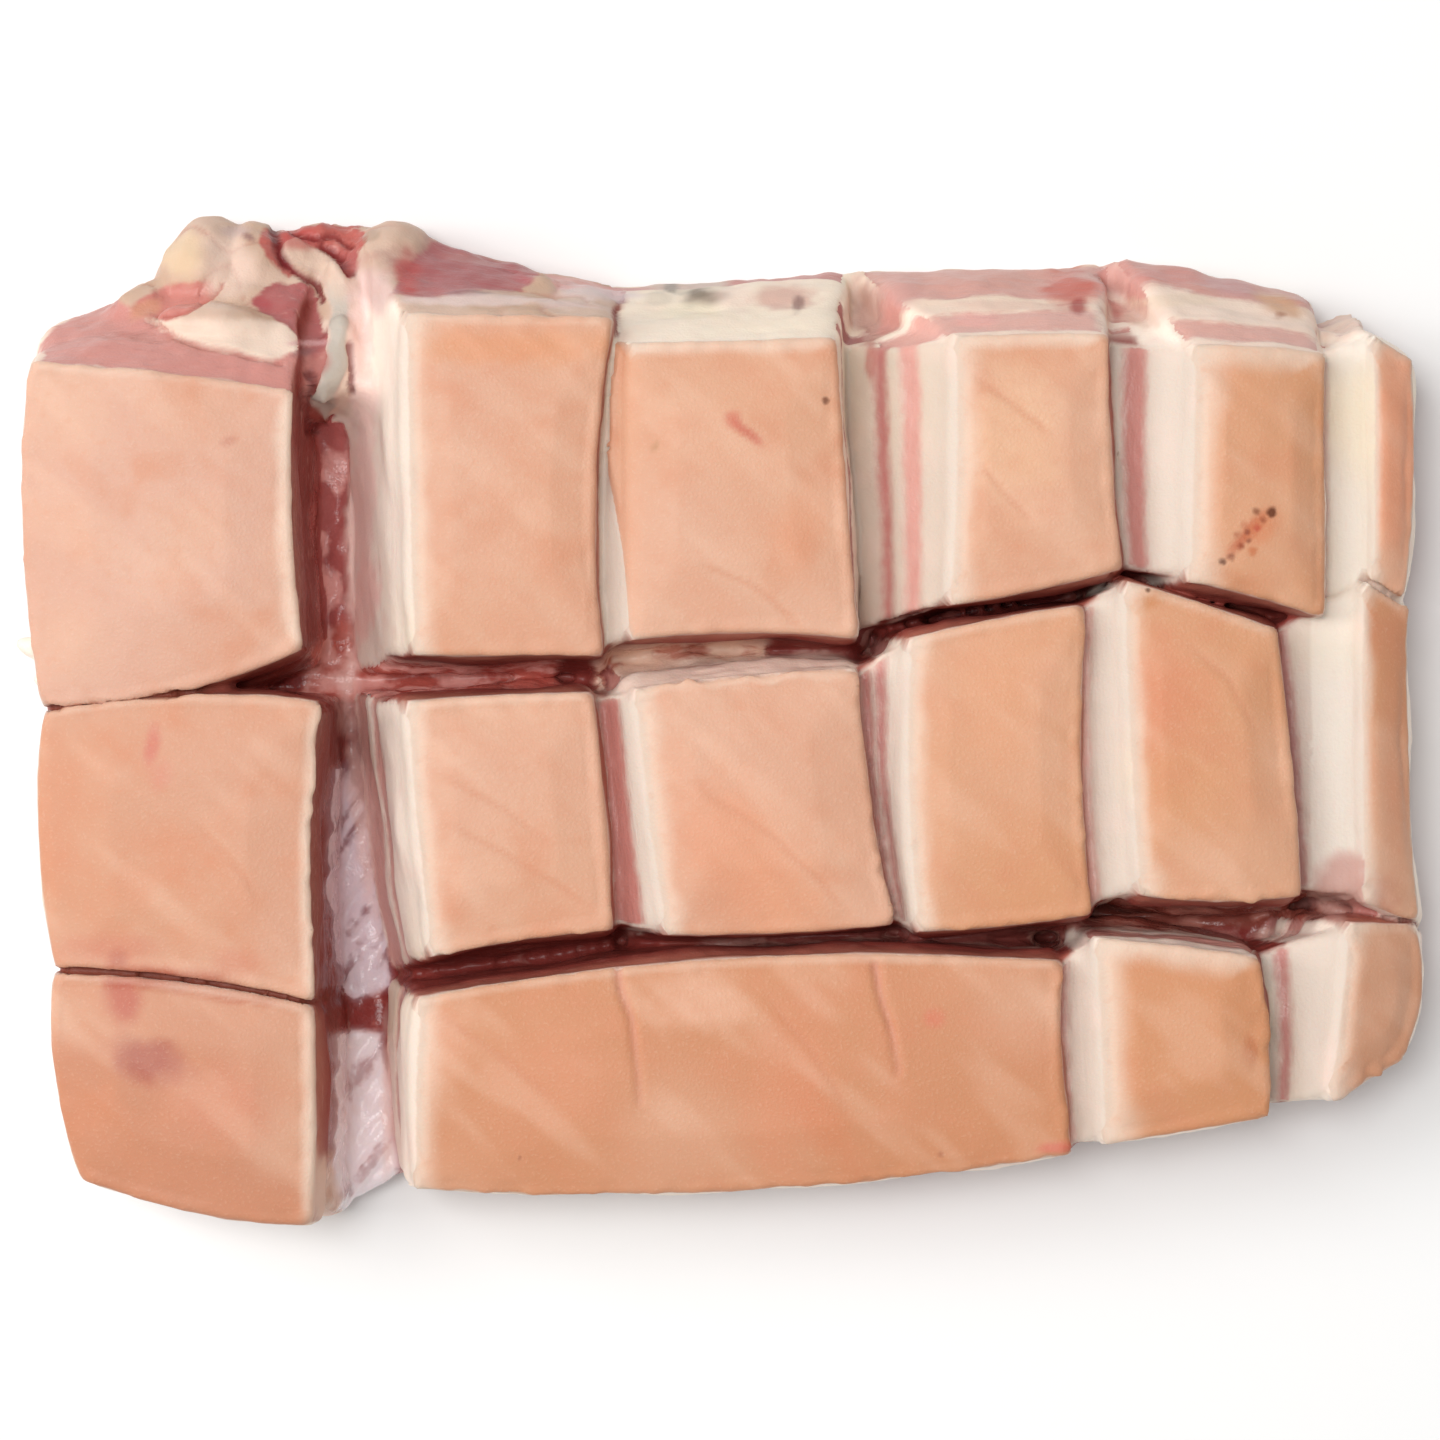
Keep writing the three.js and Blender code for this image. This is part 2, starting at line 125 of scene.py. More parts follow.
# The narrow cuts between neighbours in a row: the blocks to the left and right, how far below the
# left one's rind the floor lies there, and the lean bands of the floor, which climbs from there
# to the right one's rind. Here the bands' shares run from the right one's rind (0) to the left.
NARROW_CUTS = [
    (1, 2, 6.5, []),
    (2, 3, 19, [(0.25, 0.42, 0.15, 0.05), (0.54, 0.66, 0.5, 0.35)]),
    (3, 4, 11, [(0.52, 0.8, 0.35, 0.2)]),
    (4, 5, 10, [(0.85, 1.1, 0.05, 0.0)]),
    (7, 8, 9, [(0.3, 0.95, 0.55, 0.1)]),
    (8, 9, 8, [(0.34, 0.62, 0.35, 0.35), (0.68, 0.95, 0.45, 0.25)]),
    (9, 10, 7, [(0.74, 1.1, 0.1, 0.0)]),
    (10, 11, 12, [(0.8, 1.1, 0.3, 0.3)]),
    (13, 14, 7, [(0.75, 1.1, 0.3, 0.1)]),
    (14, 15, 13, [(0.55, 0.72, 0.3, 0.3)]),
]
# Where the floor of a narrow cut still has rind on it, in the photograph's frame.
RIND_ON_SLOPE = [
    (590, 342), (622, 344), (630, 356), (655, 360), (655, 632), (634, 632), (631, 600), (625, 550),
    (615, 500), (605, 450), (590, 440),
]
# Blocks whose left wall is cut even, from the rind to the floor.
EVEN_LEFTS = [1, 7, 13]
OUTER = {LEFT: (0, 6, 12), NEAR: (12, 13, 14, 15), RIGHT: (5, 11, 15), FAR: (0, 1, 2, 3, 4, 5)}

# How warm (from pink to tan) and how dark each block's rind is.
RIND_TONES = [
    (0.05, 0.22), (0.35, 0.05), (0.4, 0.0), (0.5, -0.1), (0.8, 0.05), (0.7, -0.65),
    (0.35, 0.42), (0.35, 0.0), (0.4, 0.15), (0.85, 0.2), (0.85, 0.15), (0.8, 0.35),
    (0.55, 1.1), (0.95, 0.75), (1.0, 0.45), (1.1, 0.9),
]

# From here on, places are in the photograph's frame.
# The lean of the loose flap at the far left corner: outline, redness and purple tone.
LEAN_PATCHES = [
    ([(545, 268), (600, 282), (640, 276), (640, 300), (560, 290)], 0.1, 0.2),
    ([(318, 232), (350, 232), (362, 250), (362, 272), (352, 284), (336, 262)], 0.95, 0.3),
    ([(36, 364), (42, 345), (60, 326), (85, 309), (117, 296), (150, 321), (190, 341), (225, 353),
      (270, 358), (292, 350), (336, 345), (336, 372), (324, 422), (298, 422), (290, 391),
      (230, 384), (160, 376), (90, 367)], 0.4, 0.2),
    ([(131, 309), (150, 293), (180, 281), (217, 276), (221, 290), (200, 308), (168, 318),
      (138, 317)], 0.62, 0.0),
    ([(254, 302), (266, 288), (282, 280), (308, 281), (322, 305), (328, 340), (322, 375),
      (306, 372), (299, 343), (281, 323), (262, 312)], 0.85, 0.55),
    ([(262, 228), (300, 225), (362, 222), (369, 236), (358, 250), (362, 268), (352, 280),
      (342, 270), (335, 258), (320, 249), (300, 243), (288, 250), (297, 268), (290, 276),
      (274, 262), (263, 245)], 0.9, 0.05),
    ([(396, 296), (404, 272), (412, 256), (440, 241), (490, 246), (540, 272), (522, 286),
      (480, 295), (430, 299)], 0.75, 0.6),
]
# A pale strand of fat that runs from the flap down into the cut.
STRAND = [
    (294, 250), (316, 261), (336, 280), (341, 305), (339, 332), (341, 356), (329, 384), (320, 412),
]
STRAND_WIDTH = 13.0
# Where the lobes of the strand meet in the solid.
STRAND_JOINTS = [(341, 306), (340, 357)]
# The floors of the cuts: outline, colour of the film or fat, colour of the meat, and how much is
# meat. Where no outline is, they are like the first line.
DEEP_FLOOR = ((184, 98, 88), (142, 56, 52), 1.0)
FLOORS = [
    ([(316, 405), (345, 405), (350, 520), (352, 640), (324, 655), (317, 520)],
     (232, 166, 158), (182, 98, 94), 0.6),
    ([(323, 770), (345, 765), (366, 820), (388, 930), (392, 985), (360, 1000), (334, 985),
      (326, 900)], (232, 212, 218), (168, 130, 136), -0.6),
    ([(318, 1038), (350, 1030), (385, 1035), (392, 1110), (395, 1215), (330, 1215), (318, 1120)],
     (246, 232, 234), (206, 178, 180), -0.7),
    ([(308, 650), (340, 620), (420, 655), (520, 662), (560, 655), (560, 700), (440, 706),
      (340, 695), (306, 692)], (230, 164, 154), (192, 98, 86), 0.1),
    ([(590, 638), (700, 640), (768, 634), (768, 660), (700, 674), (600, 692)],
     (240, 206, 184), (206, 142, 122), -0.8),
    ([(1078, 884), (1330, 880), (1336, 926), (1078, 932)],
     (188, 120, 106), (150, 78, 66), 0.2),
    ([(700, 945), (1060, 930), (1090, 925), (1090, 960), (880, 972), (700, 958)],
     (176, 120, 108), (120, 58, 52), 0.3),
]
# Films of the floors that are drawn out in folds from upper right to lower left.
DRAWN_FILMS = (1, 2)
# Scores in the rind of the wide near block.
SCORES = [
    [(617, 952), (621, 990), (631, 1020), (636, 1060), (639, 1102)],
    [(875, 965), (881, 1000), (892, 1035), (898, 1072)],
]
# Walls whose rind is torn rather than cut clean: block, wall and how ragged.
RAGGED = [
    (8, FAR, 1.0), (8, RIGHT, 0.6), (9, NEAR, 0.5), (9, RIGHT, 0.5), (10, NEAR, 1.2),
    (14, RIGHT, 1.0), (15, NEAR, 1.0), (0, LEFT, 0.5), (6, RIGHT, 0.6), (3, FAR, 0.4),
    (7, NEAR, 0.5), (13, RIGHT, 0.6), (13, NEAR, 0.4),
]
# Inner walls that face right or near get painted shade, apart from these, and so do some far walls.
PALE_INNER = [(2, RIGHT), (11, NEAR)]
DARK_FAR = [6, 7, 9, 10, 11, 12, 13, 15]
# Cut edges where the pale rim of the rind is wide: block, wall and width in mm.
WIDE_RIMS = [
    (0, RIGHT, 3.2), (6, RIGHT, 1.8), (12, RIGHT, 2.2), (14, FAR, 5.5), (4, FAR, 5.0),
    (3, FAR, 2.5), (2, FAR, 2.0),
]
# The width of the pale rim along the left sides in mm, where the cut's slope reaches the rind.
LEFT_RIM = 6.0
LEFT_RIMS = {4: 8.0, 5: 3.0, 11: 4.0, 14: 9.0}
# The width of the pale rim along each side of the rind elsewhere in mm, and how strong it is.
RIMS = {LEFT: (0.5, 0.0), NEAR: (0.5, 0.0), RIGHT: (0.5, 0.0), FAR: (0.9, 0.3)}
# How far down each wall the rind's own thickness shows, in mm.
RIND_THICKNESS = {LEFT: 0.7, NEAR: 2.6, RIGHT: 2.6, FAR: 2.2}
OUTER_THICKNESS = 3.2

# Stains in the rind: place, half width, half height, colour, strength and, where a stain is
# slanted, its turn in degrees.
STAINS = [
    (748, 433, 5.5, 24, (190, 84, 62), 0.85, -52), (733, 420, 8.0, 9, (200, 100, 78), 0.6, 40),
    (655, 447, 3.5, 6, (170, 128, 84), 0.5, 20), (229, 441, 10, 5, (190, 122, 102), 0.5, -20),
    (1248, 534, 7, 32, (182, 90, 56), 0.85, 42), (1262, 530, 14, 26, (212, 132, 92), 0.6, 42),
    (1130, 604, 32, 12, (192, 118, 58), 0.85, -18), (152, 745, 9, 26, (204, 104, 94), 0.55, 8),
    (160, 775, 13, 18, (214, 138, 120), 0.45), (118, 958, 12, 12, (165, 92, 80), 0.55, 30),
    (124, 1000, 20, 28, (186, 98, 82), 0.75, -10), (156, 1062, 44, 24, (164, 76, 64), 0.95, 20),
    (160, 978, 66, 12, (176, 84, 64), 0.8, 4), (240, 996, 60, 9, (186, 104, 78), 0.65, 8),
    (110, 948, 50, 16, (204, 124, 102), 0.45), (1160, 690, 40, 60, (216, 132, 100), 0.4, 15),
    (820, 1120, 26, 60, (206, 128, 90), 0.5, -32), (700, 1000, 50, 30, (232, 186, 160), 0.4),
    (430, 1040, 40, 50, (230, 176, 148), 0.4), (1020, 430, 50, 90, (236, 192, 152), 0.35),
    (240, 962, 28, 16, (204, 126, 100), 0.5, 12), (215, 1100, 60, 42, (210, 138, 110), 0.55, 10),
    (935, 1019, 12, 10, (213, 120, 96), 0.6, 20), (1058, 1147, 22, 6, (205, 86, 76), 0.65, -8),
    (1170, 715, 48, 54, (212, 138, 102), 0.5), (1235, 585, 50, 16, (184, 118, 78), 0.45, 20),
    (1250, 1050, 8, 16, (188, 106, 68), 0.45), (500, 348, 115, 20, (218, 148, 104), 0.6),
    (800, 530, 26, 60, (220, 150, 114), 0.45, 20), (1000, 700, 60, 80, (222, 156, 116), 0.35),
    (740, 850, 60, 110, (226, 150, 112), 0.45, -40), (790, 1080, 50, 90, (214, 138, 104), 0.4, 10),
    (560, 1080, 60, 60, (220, 150, 118), 0.35, 20), (1395, 720, 12, 300, (200, 132, 98), 0.35),
    (1368, 898, 26, 24, (186, 120, 104), 0.6), (1398, 450, 36, 130, (234, 158, 124), 0.7),
]
# Faint creases that cross the rind, with painted shade along them.
CREASES = [
    [(975, 458), (1003, 492), (1040, 530)], [(955, 362), (1010, 402), (1062, 442)],
    [(428, 768), (500, 806), (562, 852)], [(438, 820), (520, 862), (602, 916)],
    [(428, 1008), (500, 1056), (572, 1112)], [(698, 788), (780, 842), (862, 926)],
    [(758, 988), (812, 1050), (862, 1132)], [(188, 818), (228, 856), (262, 902)],
    [(690, 560), (760, 590), (812, 640)], [(1180, 640), (1230, 680), (1262, 742)],
]
# Stains of the cut faces, and pale washes that are painted light on the shaded walls of the cuts:
# the same values as those of the rind.
WALL_STAINS_AND_LIGHT = [
    (690, 284, 46, 11, (202, 190, 174), 0.7), (706, 300, 24, 9, (152, 134, 118), 0.9),
    (658, 300, 16, 8, (190, 178, 162), 0.5), (600, 294, 42, 8, (214, 198, 200), 0.6, 5),
    (868, 305, 20, 34, (198, 160, 148), 0.85), (1340, 322, 32, 18, (230, 204, 188), 0.9),
    (1116, 280, 28, 21, (208, 150, 140), 0.9), (1140, 318, 20, 12, (226, 196, 178), 0.7),
    (1010, 306, 70, 5, (226, 190, 172), 0.6), (1170, 302, 55, 6, (226, 202, 178), 0.6),
    (730, 676, 130, 15, (244, 208, 190), 0.7, -6), (1104, 312, 10, 18, (226, 200, 184), 0.85),
    (690, 313, 42, 9, (228, 214, 188), 0.6), (735, 300, 22, 16, (230, 202, 188), 0.5),
    (785, 299, 34, 14, (204, 158, 144), 0.75), (671, 288, 7, 5, (142, 130, 120), 0.85),
    (700, 296, 11, 5, (132, 118, 102), 0.9, 10), (798, 306, 6, 9, (140, 104, 96), 0.85, 10),
    (870, 325, 10, 38, (200, 158, 144), 0.7), (871, 362, 6, 24, (184, 94, 86), 0.6),
    (904, 294, 22, 14, (204, 156, 148), 0.6), (1010, 280, 52, 11, (204, 148, 134), 0.55),
    (1070, 288, 28, 22, (192, 100, 86), 0.85), (1078, 306, 9, 8, (160, 56, 50), 0.85),
    (971, 317, 24, 7, (230, 166, 156), 0.6), (1165, 276, 42, 9, (204, 130, 122), 0.55, 3),
    (1230, 285, 26, 10, (186, 138, 140), 0.55, 12), (1280, 306, 25, 15, (204, 158, 124), 0.85, 30),
    (1280, 317, 8, 5, (168, 112, 86), 0.8), (407, 276, 11, 18, (190, 88, 82), 0.7),
    (470, 258, 26, 5, (204, 154, 144), 0.65, 8), (520, 276, 15, 6, (188, 92, 98), 0.6, 20),
    (470, 294, 22, 2.5, (128, 106, 108), 0.6, 4), (182, 258, 22, 26, (224, 196, 160), 0.65, -30),
    (371, 236, 9, 6, (166, 140, 122), 0.65), (238, 232, 16, 6, (196, 170, 166), 0.65),
    (250, 239, 8, 5, (146, 106, 102), 0.85, 30), (145, 308, 17, 8, (206, 150, 120), 0.65, -20),
    (262, 304, 11, 7, (172, 74, 78), 0.7), (310, 342, 22, 3.5, (216, 166, 164), 0.75),
    (303, 352, 13, 4, (156, 112, 112), 0.65, -10), (318, 366, 14, 14, (196, 124, 116), 0.6),
    (374, 292, 22, 22, (222, 190, 184), 0.75), (360, 350, 12, 62, (236, 206, 198), 0.85),
    (364, 420, 14, 46, (250, 222, 210), 0.9), (360, 520, 16, 130, (254, 216, 204), 0.95, 3),
    (366, 600, 14, 50, (252, 206, 194), 0.9, 6), (465, 268, 76, 24, (158, 76, 80), 0.55, 4),
    (408, 272, 13, 20, (176, 72, 68), 0.6), (500, 303, 112, 6, (224, 200, 194), 0.7, 2),
    (360, 800, 10, 120, (238, 198, 188), 0.6, -8), (388, 1110, 8, 80, (234, 194, 182), 0.6),
    (228, 268, 26, 34, (226, 198, 182), 0.6, 10), (300, 237, 22, 12, (188, 76, 72), 0.65),
    (1345, 888, 30, 34, (196, 140, 128), 0.75, 20), (1330, 905, 10, 26, (214, 172, 160), 0.5, -40),
    (322, 1190, 15, 34, (228, 190, 168), 0.9), (1275, 935, 22, 7, (226, 190, 176), 0.6),
]
# Crevices of the flap, sunk in and painted dark: partly the meat's own dark red, partly painted
# shade. A line, its half width, colour and strength.
CREVICES = [
    ([(274, 226), (278, 244), (286, 262)], 6.5, (110, 28, 30), 0.95),
    ([(286, 262), (300, 272), (318, 284), (324, 300)], 3.5, (122, 36, 40), 0.9),
    ([(320, 246), (335, 254), (346, 266), (353, 274)], 4.0, (122, 38, 38), 0.9),
    ([(296, 233), (312, 238), (334, 234), (350, 246)], 3.5, (124, 38, 38), 0.75),
    ([(351, 345), (352, 395)], 3.5, (126, 48, 48), 0.75),
    ([(312, 372), (313, 430)], 5.0, (114, 44, 42), 0.8),
    ([(160, 316), (186, 312), (208, 302), (222, 286)], 2.5, (176, 92, 80), 0.6),
    ([(150, 320), (180, 339), (206, 348), (250, 356), (282, 362)], 2.5, (184, 116, 106), 0.6),
]
# The small round stains of the rind: place, radius, colour and strength. They lie at the rind's
# usual level, and are drawn a little larger than they measure.
DOT_LEVEL = SLAB - 1.0
DOT_PIXELS_PER_MM = 4.75
DOTS = [
    (825, 400, 4.0, (120, 72, 52), 0.85), (708, 812, 4.4, (64, 46, 40), 0.9),
    (520, 1160, 4.2, (128, 74, 60), 0.8), (940, 1155, 5.0, (146, 80, 60), 0.8),
    (1231, 556, 5.6, (112, 52, 32), 0.95), (1240, 546, 5.0, (144, 62, 34), 0.9),
    (1256, 511, 4.8, (128, 68, 40), 0.85), (1272, 512, 5.6, (108, 58, 36), 0.95),
    (1249, 541, 4.0, (120, 56, 40), 0.85), (1223, 562, 4.6, (96, 56, 40), 0.9),
    (1244, 524, 5.6, (176, 84, 50), 0.85), (1256, 527, 5.0, (186, 76, 58), 0.85),
    (1237, 535, 5.4, (160, 82, 50), 0.85), (1247, 532, 4.4, (122, 54, 38), 0.85),
    (1252, 551, 5.6, (196, 112, 70), 0.7), (1263, 520, 4.2, (150, 80, 54), 0.8),
    (1148, 590, 3.4, (90, 54, 36), 0.8), (748, 433, 3.4, (150, 62, 50), 0.6),
    (110, 956, 3.5, (120, 66, 56), 0.7),
]


# ------------ small helpers

def ease(value, low, high):
    """0 at low, 1 at high, and smooth between them."""
    share = np.clip((value - low) / (high - low), 0, 1)
    return share * share * (3 - 2 * share)


LATTICE = np.random.default_rng(11).uniform(-1, 1, (64, 64, 64))


def noise(size, seed, at=None):
    """Smooth noise from -1 to 1 whose bumps are about size wide, at the skin's points or at
    others. size may be one for each axis."""
    at = (points if at is None else at) / np.asarray(size, float) + 17.31 * seed
    cell = np.floor(at).astype(int)
    part = ease(at - cell, 0, 1)
    shares = [(1 - part).T, part.T]
    total = np.zeros(len(at))
    for i, j, k in np.ndindex(2, 2, 2):
        x, y, z = ((cell + (i, j, k)) & 63).T
        total += shares[i][0] * shares[j][1] * shares[k][2] * LATTICE[x, y, z]
    return total


def mix(first, second, share):
    """Blends two values or two colours, by a share for each point."""
    first, second, share = np.asarray(first), np.asarray(second), np.asarray(share)
    if (3,) in (first.shape[-1:], second.shape[-1:]):
        share = share[..., None]
    return first * (1 - share) + second * share


def linear(red_part, green_part, blue_part):
    """A colour given in 0 to 255 as it looks on a screen, as the shader wants it."""
    parts = np.array([red_part, green_part, blue_part]) / 255
    return np.where(parts <= 0.04045, parts / 12.92, ((parts + 0.055) / 1.055) ** 2.4)


def blend(first, second, share):
    return mix(linear(*first), linear(*second), share)


def rind_height(x, y):
    def droop(distance, start, reach, fall):
        return fall * (np.maximum(0, distance - start) / reach) ** 2

    fallen = droop(x, *DROOPS["right"]) + droop(-x, *DROOPS["left"]) + droop(-y, *DROOPS["near"])
    return SLAB - DOME - fallen


def seen_from_above(points):
    """Where in the photograph's frame each point shows."""
    scale = PHOTO_SCALE / (CAMERA_HEIGHT - points[:, 2])
    return PHOTO_MIDDLE + points[:, 0] * scale, PHOTO_MIDDLE - points[:, 1] * scale


def line_distance(x, y, start, end):
    """How far each point is from a straight line, and the share of the way along it."""
    dx, dy = end[0] - start[0], end[1] - start[1]
    x, y = x - start[0], y - start[1]
    share = np.clip((x * dx + y * dy) / (dx * dx + dy * dy), 0, 1)
    return np.hypot(x - share * dx, y - share * dy), share


def inside_distance(x, y, outline):
    """How far inside a closed outline each point is, and below 0 outside it."""
    nearest = np.full(len(x), np.inf)
    inside = np.zeros(len(x), bool)
    for start, end in zip(outline, outline[1:] + outline[:1]):
        nearest = np.minimum(nearest, line_distance(x, y, start, end)[0])
        run, rise = end[0] - start[0], (end[1] - start[1]) or 1e-9
        crosses = (start[1] > y) != (end[1] > y)
        inside ^= crosses & (x < start[0] + run * (y - start[1]) / rise)
    return np.where(inside, nearest, -nearest)


def path_distance(x, y, path):
    """How far each point is from an open line through points, and the share of the way along."""
    nearest = np.full(len(x), np.inf)
    share_along = np.zeros(len(x))
    lengths = [math.dist(*line) for line in zip(path, path[1:])]
    passed = 0.0
    for start, end, length in zip(path, path[1:], lengths):
        away, share = line_distance(x, y, start, end)
        along = (passed + share * length) / sum(lengths)
        share_along = np.where(away < nearest, along, share_along)
        nearest = np.minimum(nearest, away)
        passed += length
    return nearest, share_along


# ------------ the fine mesh

def fine_mesh(node):
    """A copy of a CAD node's skin as an even mesh of small faces."""
    piece = bpy.data.objects.new("pork_belly_skin", node.data.copy())
    bpy.context.scene.collection.objects.link(piece)
    remesh = piece.modifiers.new("even", "REMESH")
    remesh.mode = "VOXEL"
    remesh.voxel_size = VOXEL / MM_PER_M
    graph = bpy.context.evaluated_depsgraph_get()
    mesh = bpy.data.meshes.new_from_object(piece.evaluated_get(graph))
    piece.modifiers.clear()
    old = piece.data
    piece.data = mesh
    bpy.data.meshes.remove(old)
    mesh.materials.clear()
    return piece


def read(items, name, width, kind=np.float32):
    """One value of a mesh's vertices, edges or normals: a row of width numbers for each."""
    flat = np.zeros(len(items) * width, kind)
    items.foreach_get(name, flat)
    return flat.reshape(-1, width)


def set_coordinates(points):
    mesh.vertices.foreach_set("co", ((points - CENTRE) / MM_PER_M).astype(np.float32).ravel())
    mesh.update()


def neighbours(values, links):
    """The mean of each vertex's neighbours, of one value or of columns of values."""
    if values.ndim > 1:
        return np.stack([neighbours(column, links) for column in values.T], axis=1)
    a, b = links.T
    size = len(values)
    total = np.bincount(a, values[b], size) + np.bincount(b, values[a], size)
    return total / np.maximum(np.bincount(links.ravel(), minlength=size), 1)


def spread(values, times):
    """Averages a value over each vertex's neighbours, again and again."""
    values = np.asarray(values, float)
    for _ in range(times):
        values = 0.5 * values + 0.5 * neighbours(values, edges)
    return values


def relaxed(points, weight, times):
    """The points with the bumps smoothed out where the weight is above 0."""
    near = np.flatnonzero(weight > 0)
    place_of = np.full(len(points), -1)
    place_of[near] = np.arange(len(near))
    links = place_of[edges]
    links = links[(links >= 0).all(axis=1)]
    part = points[near]
    for _ in range(times):
        part = part + 0.5 * weight[near][:, None] * (neighbours(part, links) - part)
    eased = points.copy()
    eased[near] = part
    return eased


# ------------ where each point of the skin is

def wall_gaps(points, shape, share):
    """How far points lie outside each of a block's four walls, and each wall's way out."""
    far_left, far_right, near_right, near_left = np.array(shape.rind, float)
    corners = [far_left, near_left, near_right, far_right]
    feet = [
        far_left + (-shape.left[0], shape.far[0]),
        near_left + (-shape.left[1], -shape.near),
        near_right + (shape.right, -shape.near),
        far_right + (shape.right, shape.far[1]),
    ]
    level = [foot + (corner - foot) * share[:, None] for corner, foot in zip(corners, feet)]
    out = np.interp(share, *WALL_OUT)
    gaps, outward = [], []
    for wall, bow in zip(WALLS, reversed(shape.bow)):
        start, end = level[wall], level[(wall + 1) % 4]
        way = end - start
        length = np.hypot(*way.T)
        way = way / length[:, None]
        offset = points[:, :2] - start
        part = np.clip((offset * way).sum(1) / length, 0, 1)
        gap = offset[:, 0] * way[:, 1] - offset[:, 1] * way[:, 0]
        gaps.append(gap - 4 * bow * part * (1 - part) - out)
        outward.append(np.stack([way[:, 1], -way[:, 0]], axis=1))
    return np.array(gaps), np.array(outward)


def lay_out(points):
    """For points in design mm: the block and wall that each belongs to and where it is on it."""
    x, y, z = points.T
    height = rind_height(x, y)
    share = np.clip((z - UNCUT) / (height - RIND_EDGE - UNCUT), 0, 1)
    gaps = np.array([wall_gaps(points, shape, share)[0] for shape in BLOCKS])
    distances = gaps.max(axis=1)
    owner = distances.argmin(axis=0)
    distance, across = np.partition(distances, 1, axis=0)[:2]
    own_gaps = gaps[owner, :, np.arange(len(x))]
    return SimpleNamespace(height=height, share=share, distance=distance, across=across,
                           owner=owner, side=own_gaps.argmax(axis=1), left=own_gaps[:, LEFT])


def sharpened(points, place):
    """The points with each rind's rounded edges and corners drawn out to crisp, cut ones."""
    depth = place.height - points[:, 2]
    moved = points.copy()
    for index, shape in enumerate(BLOCKS):
        mine = np.flatnonzero((place.owner == index) & (depth < EDGE_DEPTH))
        gaps, outward = wall_gaps(points[mine], shape, place.share[mine])
        near = np.clip(1 + gaps / RIND_EDGE, 0, 1)
        upward = np.clip(1 - depth[mine] / RIND_EDGE, 0, 1)
        size = ((near ** CRISPNESS).sum(0) + upward ** CRISPNESS) ** (1 / CRISPNESS)
        round_size = np.sqrt((near ** 2).sum(0) + upward ** 2)
        grow = np.clip(1 / np.maximum(size, 0.5) - 1, 0, 0.5) * ease(round_size, 0.6, 0.85)
        grow *= ease(depth[mine], EDGE_DEPTH, 3.0) * RIND_EDGE
        sharp = np.ones((4, 1))
        sharp[LEFT] = 0.5 if index in OUTER[LEFT] else 0.2
        step = grow * near * sharp
        moved[mine, :2] += (step[:, :, None] * outward).sum(0)
        upright = (near * sharp).sum(0) / np.maximum(near.sum(0), 1e-6)
        moved[mine, 2] += grow * upward * upright
        place.distance[mine] = (gaps + step).max(0)
    for index in EVEN_LEFTS:
        mine = np.flatnonzero((place.owner == index) & (place.side == LEFT) & (
            np.abs(place.distance) < 2) & (points[:, 2] > UNCUT + 1))
        share = place.share[mine]
        _, outward = wall_gaps(points[mine], BLOCKS[index], share)
        back = np.interp(share, *WALL_OUT) * ease(np.abs(share - 0.5), 0.5, 0.35)
        moved[mine, :2] -= back[:, None] * outward[LEFT]
    return moved


belly = fine_mesh(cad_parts["pork_belly"])
belly.name = "belly"
mesh = belly.data
edges = read(mesh.edges, "vertices", 2, np.int32)
points = spread(read(mesh.vertices, "co", 3).astype(float) * MM_PER_M + CENTRE, 2)
set_coordinates(points)
normal = read(mesh.vertex_normals, "vector", 3).astype(float)

place = lay_out(points)
points = sharpened(points, place)
height, owner, side = place.height, place.owner, place.side
is_left, is_near, is_right, is_far = [side == wall for wall in WALLS]

# parts of the skin that are smoothed more: the flap's near end, the strand and its joints, and
# the rind's edge along the left walls
z = points[:, 2]
photo_x, photo_y = seen_from_above(points)
strand_away, _ = path_distance(photo_x, photo_y, STRAND)
flap_end = ease(np.hypot((photo_x - 345) / 42, (photo_y - 402) / 34), 1.1, 0.8)
flap_end *= ease(z, 10, 16) * ease(place.distance, -2, 0)
joint = np.max([ease(np.hypot(photo_x - px, photo_y - py), 30, 14) for px, py in STRAND_JOINTS], 0)
left_seam = is_left * ease(np.abs(height + DOME - z - 2.4), 4.5, 2.5)
left_seam *= ease(np.abs(place.distance + 0.5), 5, 2.5) * ~np.isin(owner, OUTER[LEFT])
for weight, times in [
    (flap_end, 160),
    (ease(strand_away, 20, 12) * (photo_y < 430) * (z > 12), 30),
    (joint * (z > 16), 110),
    (left_seam, 26),
]:
    points = relaxed(points, weight, times)

x, y, z = points.T
photo_x, photo_y = seen_from_above(points)
count = len(x)
depth = np.maximum(0, height + DOME - z)
depth_share = depth / (height + DOME)
upward = ease(normal[:, 2], 0.2, 0.6) * ease(depth, WALL_DEPTH, 4)
cut_edge = np.where(depth < WALL_DEPTH, depth - np.clip(-place.distance, 0, 30) * upward, depth)
is_outer = np.any([(side == wall) & np.isin(owner, owners) for wall, owners in OUTER.items()], 0)
underside = ease(-normal[:, 2], 0.3, 0.7) * ease(z, 6, 3)
grain = np.stack([x, y, depth], axis=1)

# low noises, from -1 to 1
broad = noise(24, 40)
patchy = 0.7 * noise(8, 41) + 0.4 * noise(3.5, 42)
mottle = noise(2, 43)
wander_x = photo_x + 5 * noise(9, 5) + 2 * noise(3, 6)
wander_y = photo_y + 5 * noise(9, 7) + 2 * noise(3, 8)


# ------------ lean and fat
# For each point, layers holds the lean's signed width in mm (above 0 in lean, below 0 in fat),
# its redness and its purple tone.

def on_wall(index, wall):
    return (owner == index) & (side == wall)


def all_fat(width):
    return np.outer([-width, 0, 0], np.ones(count))


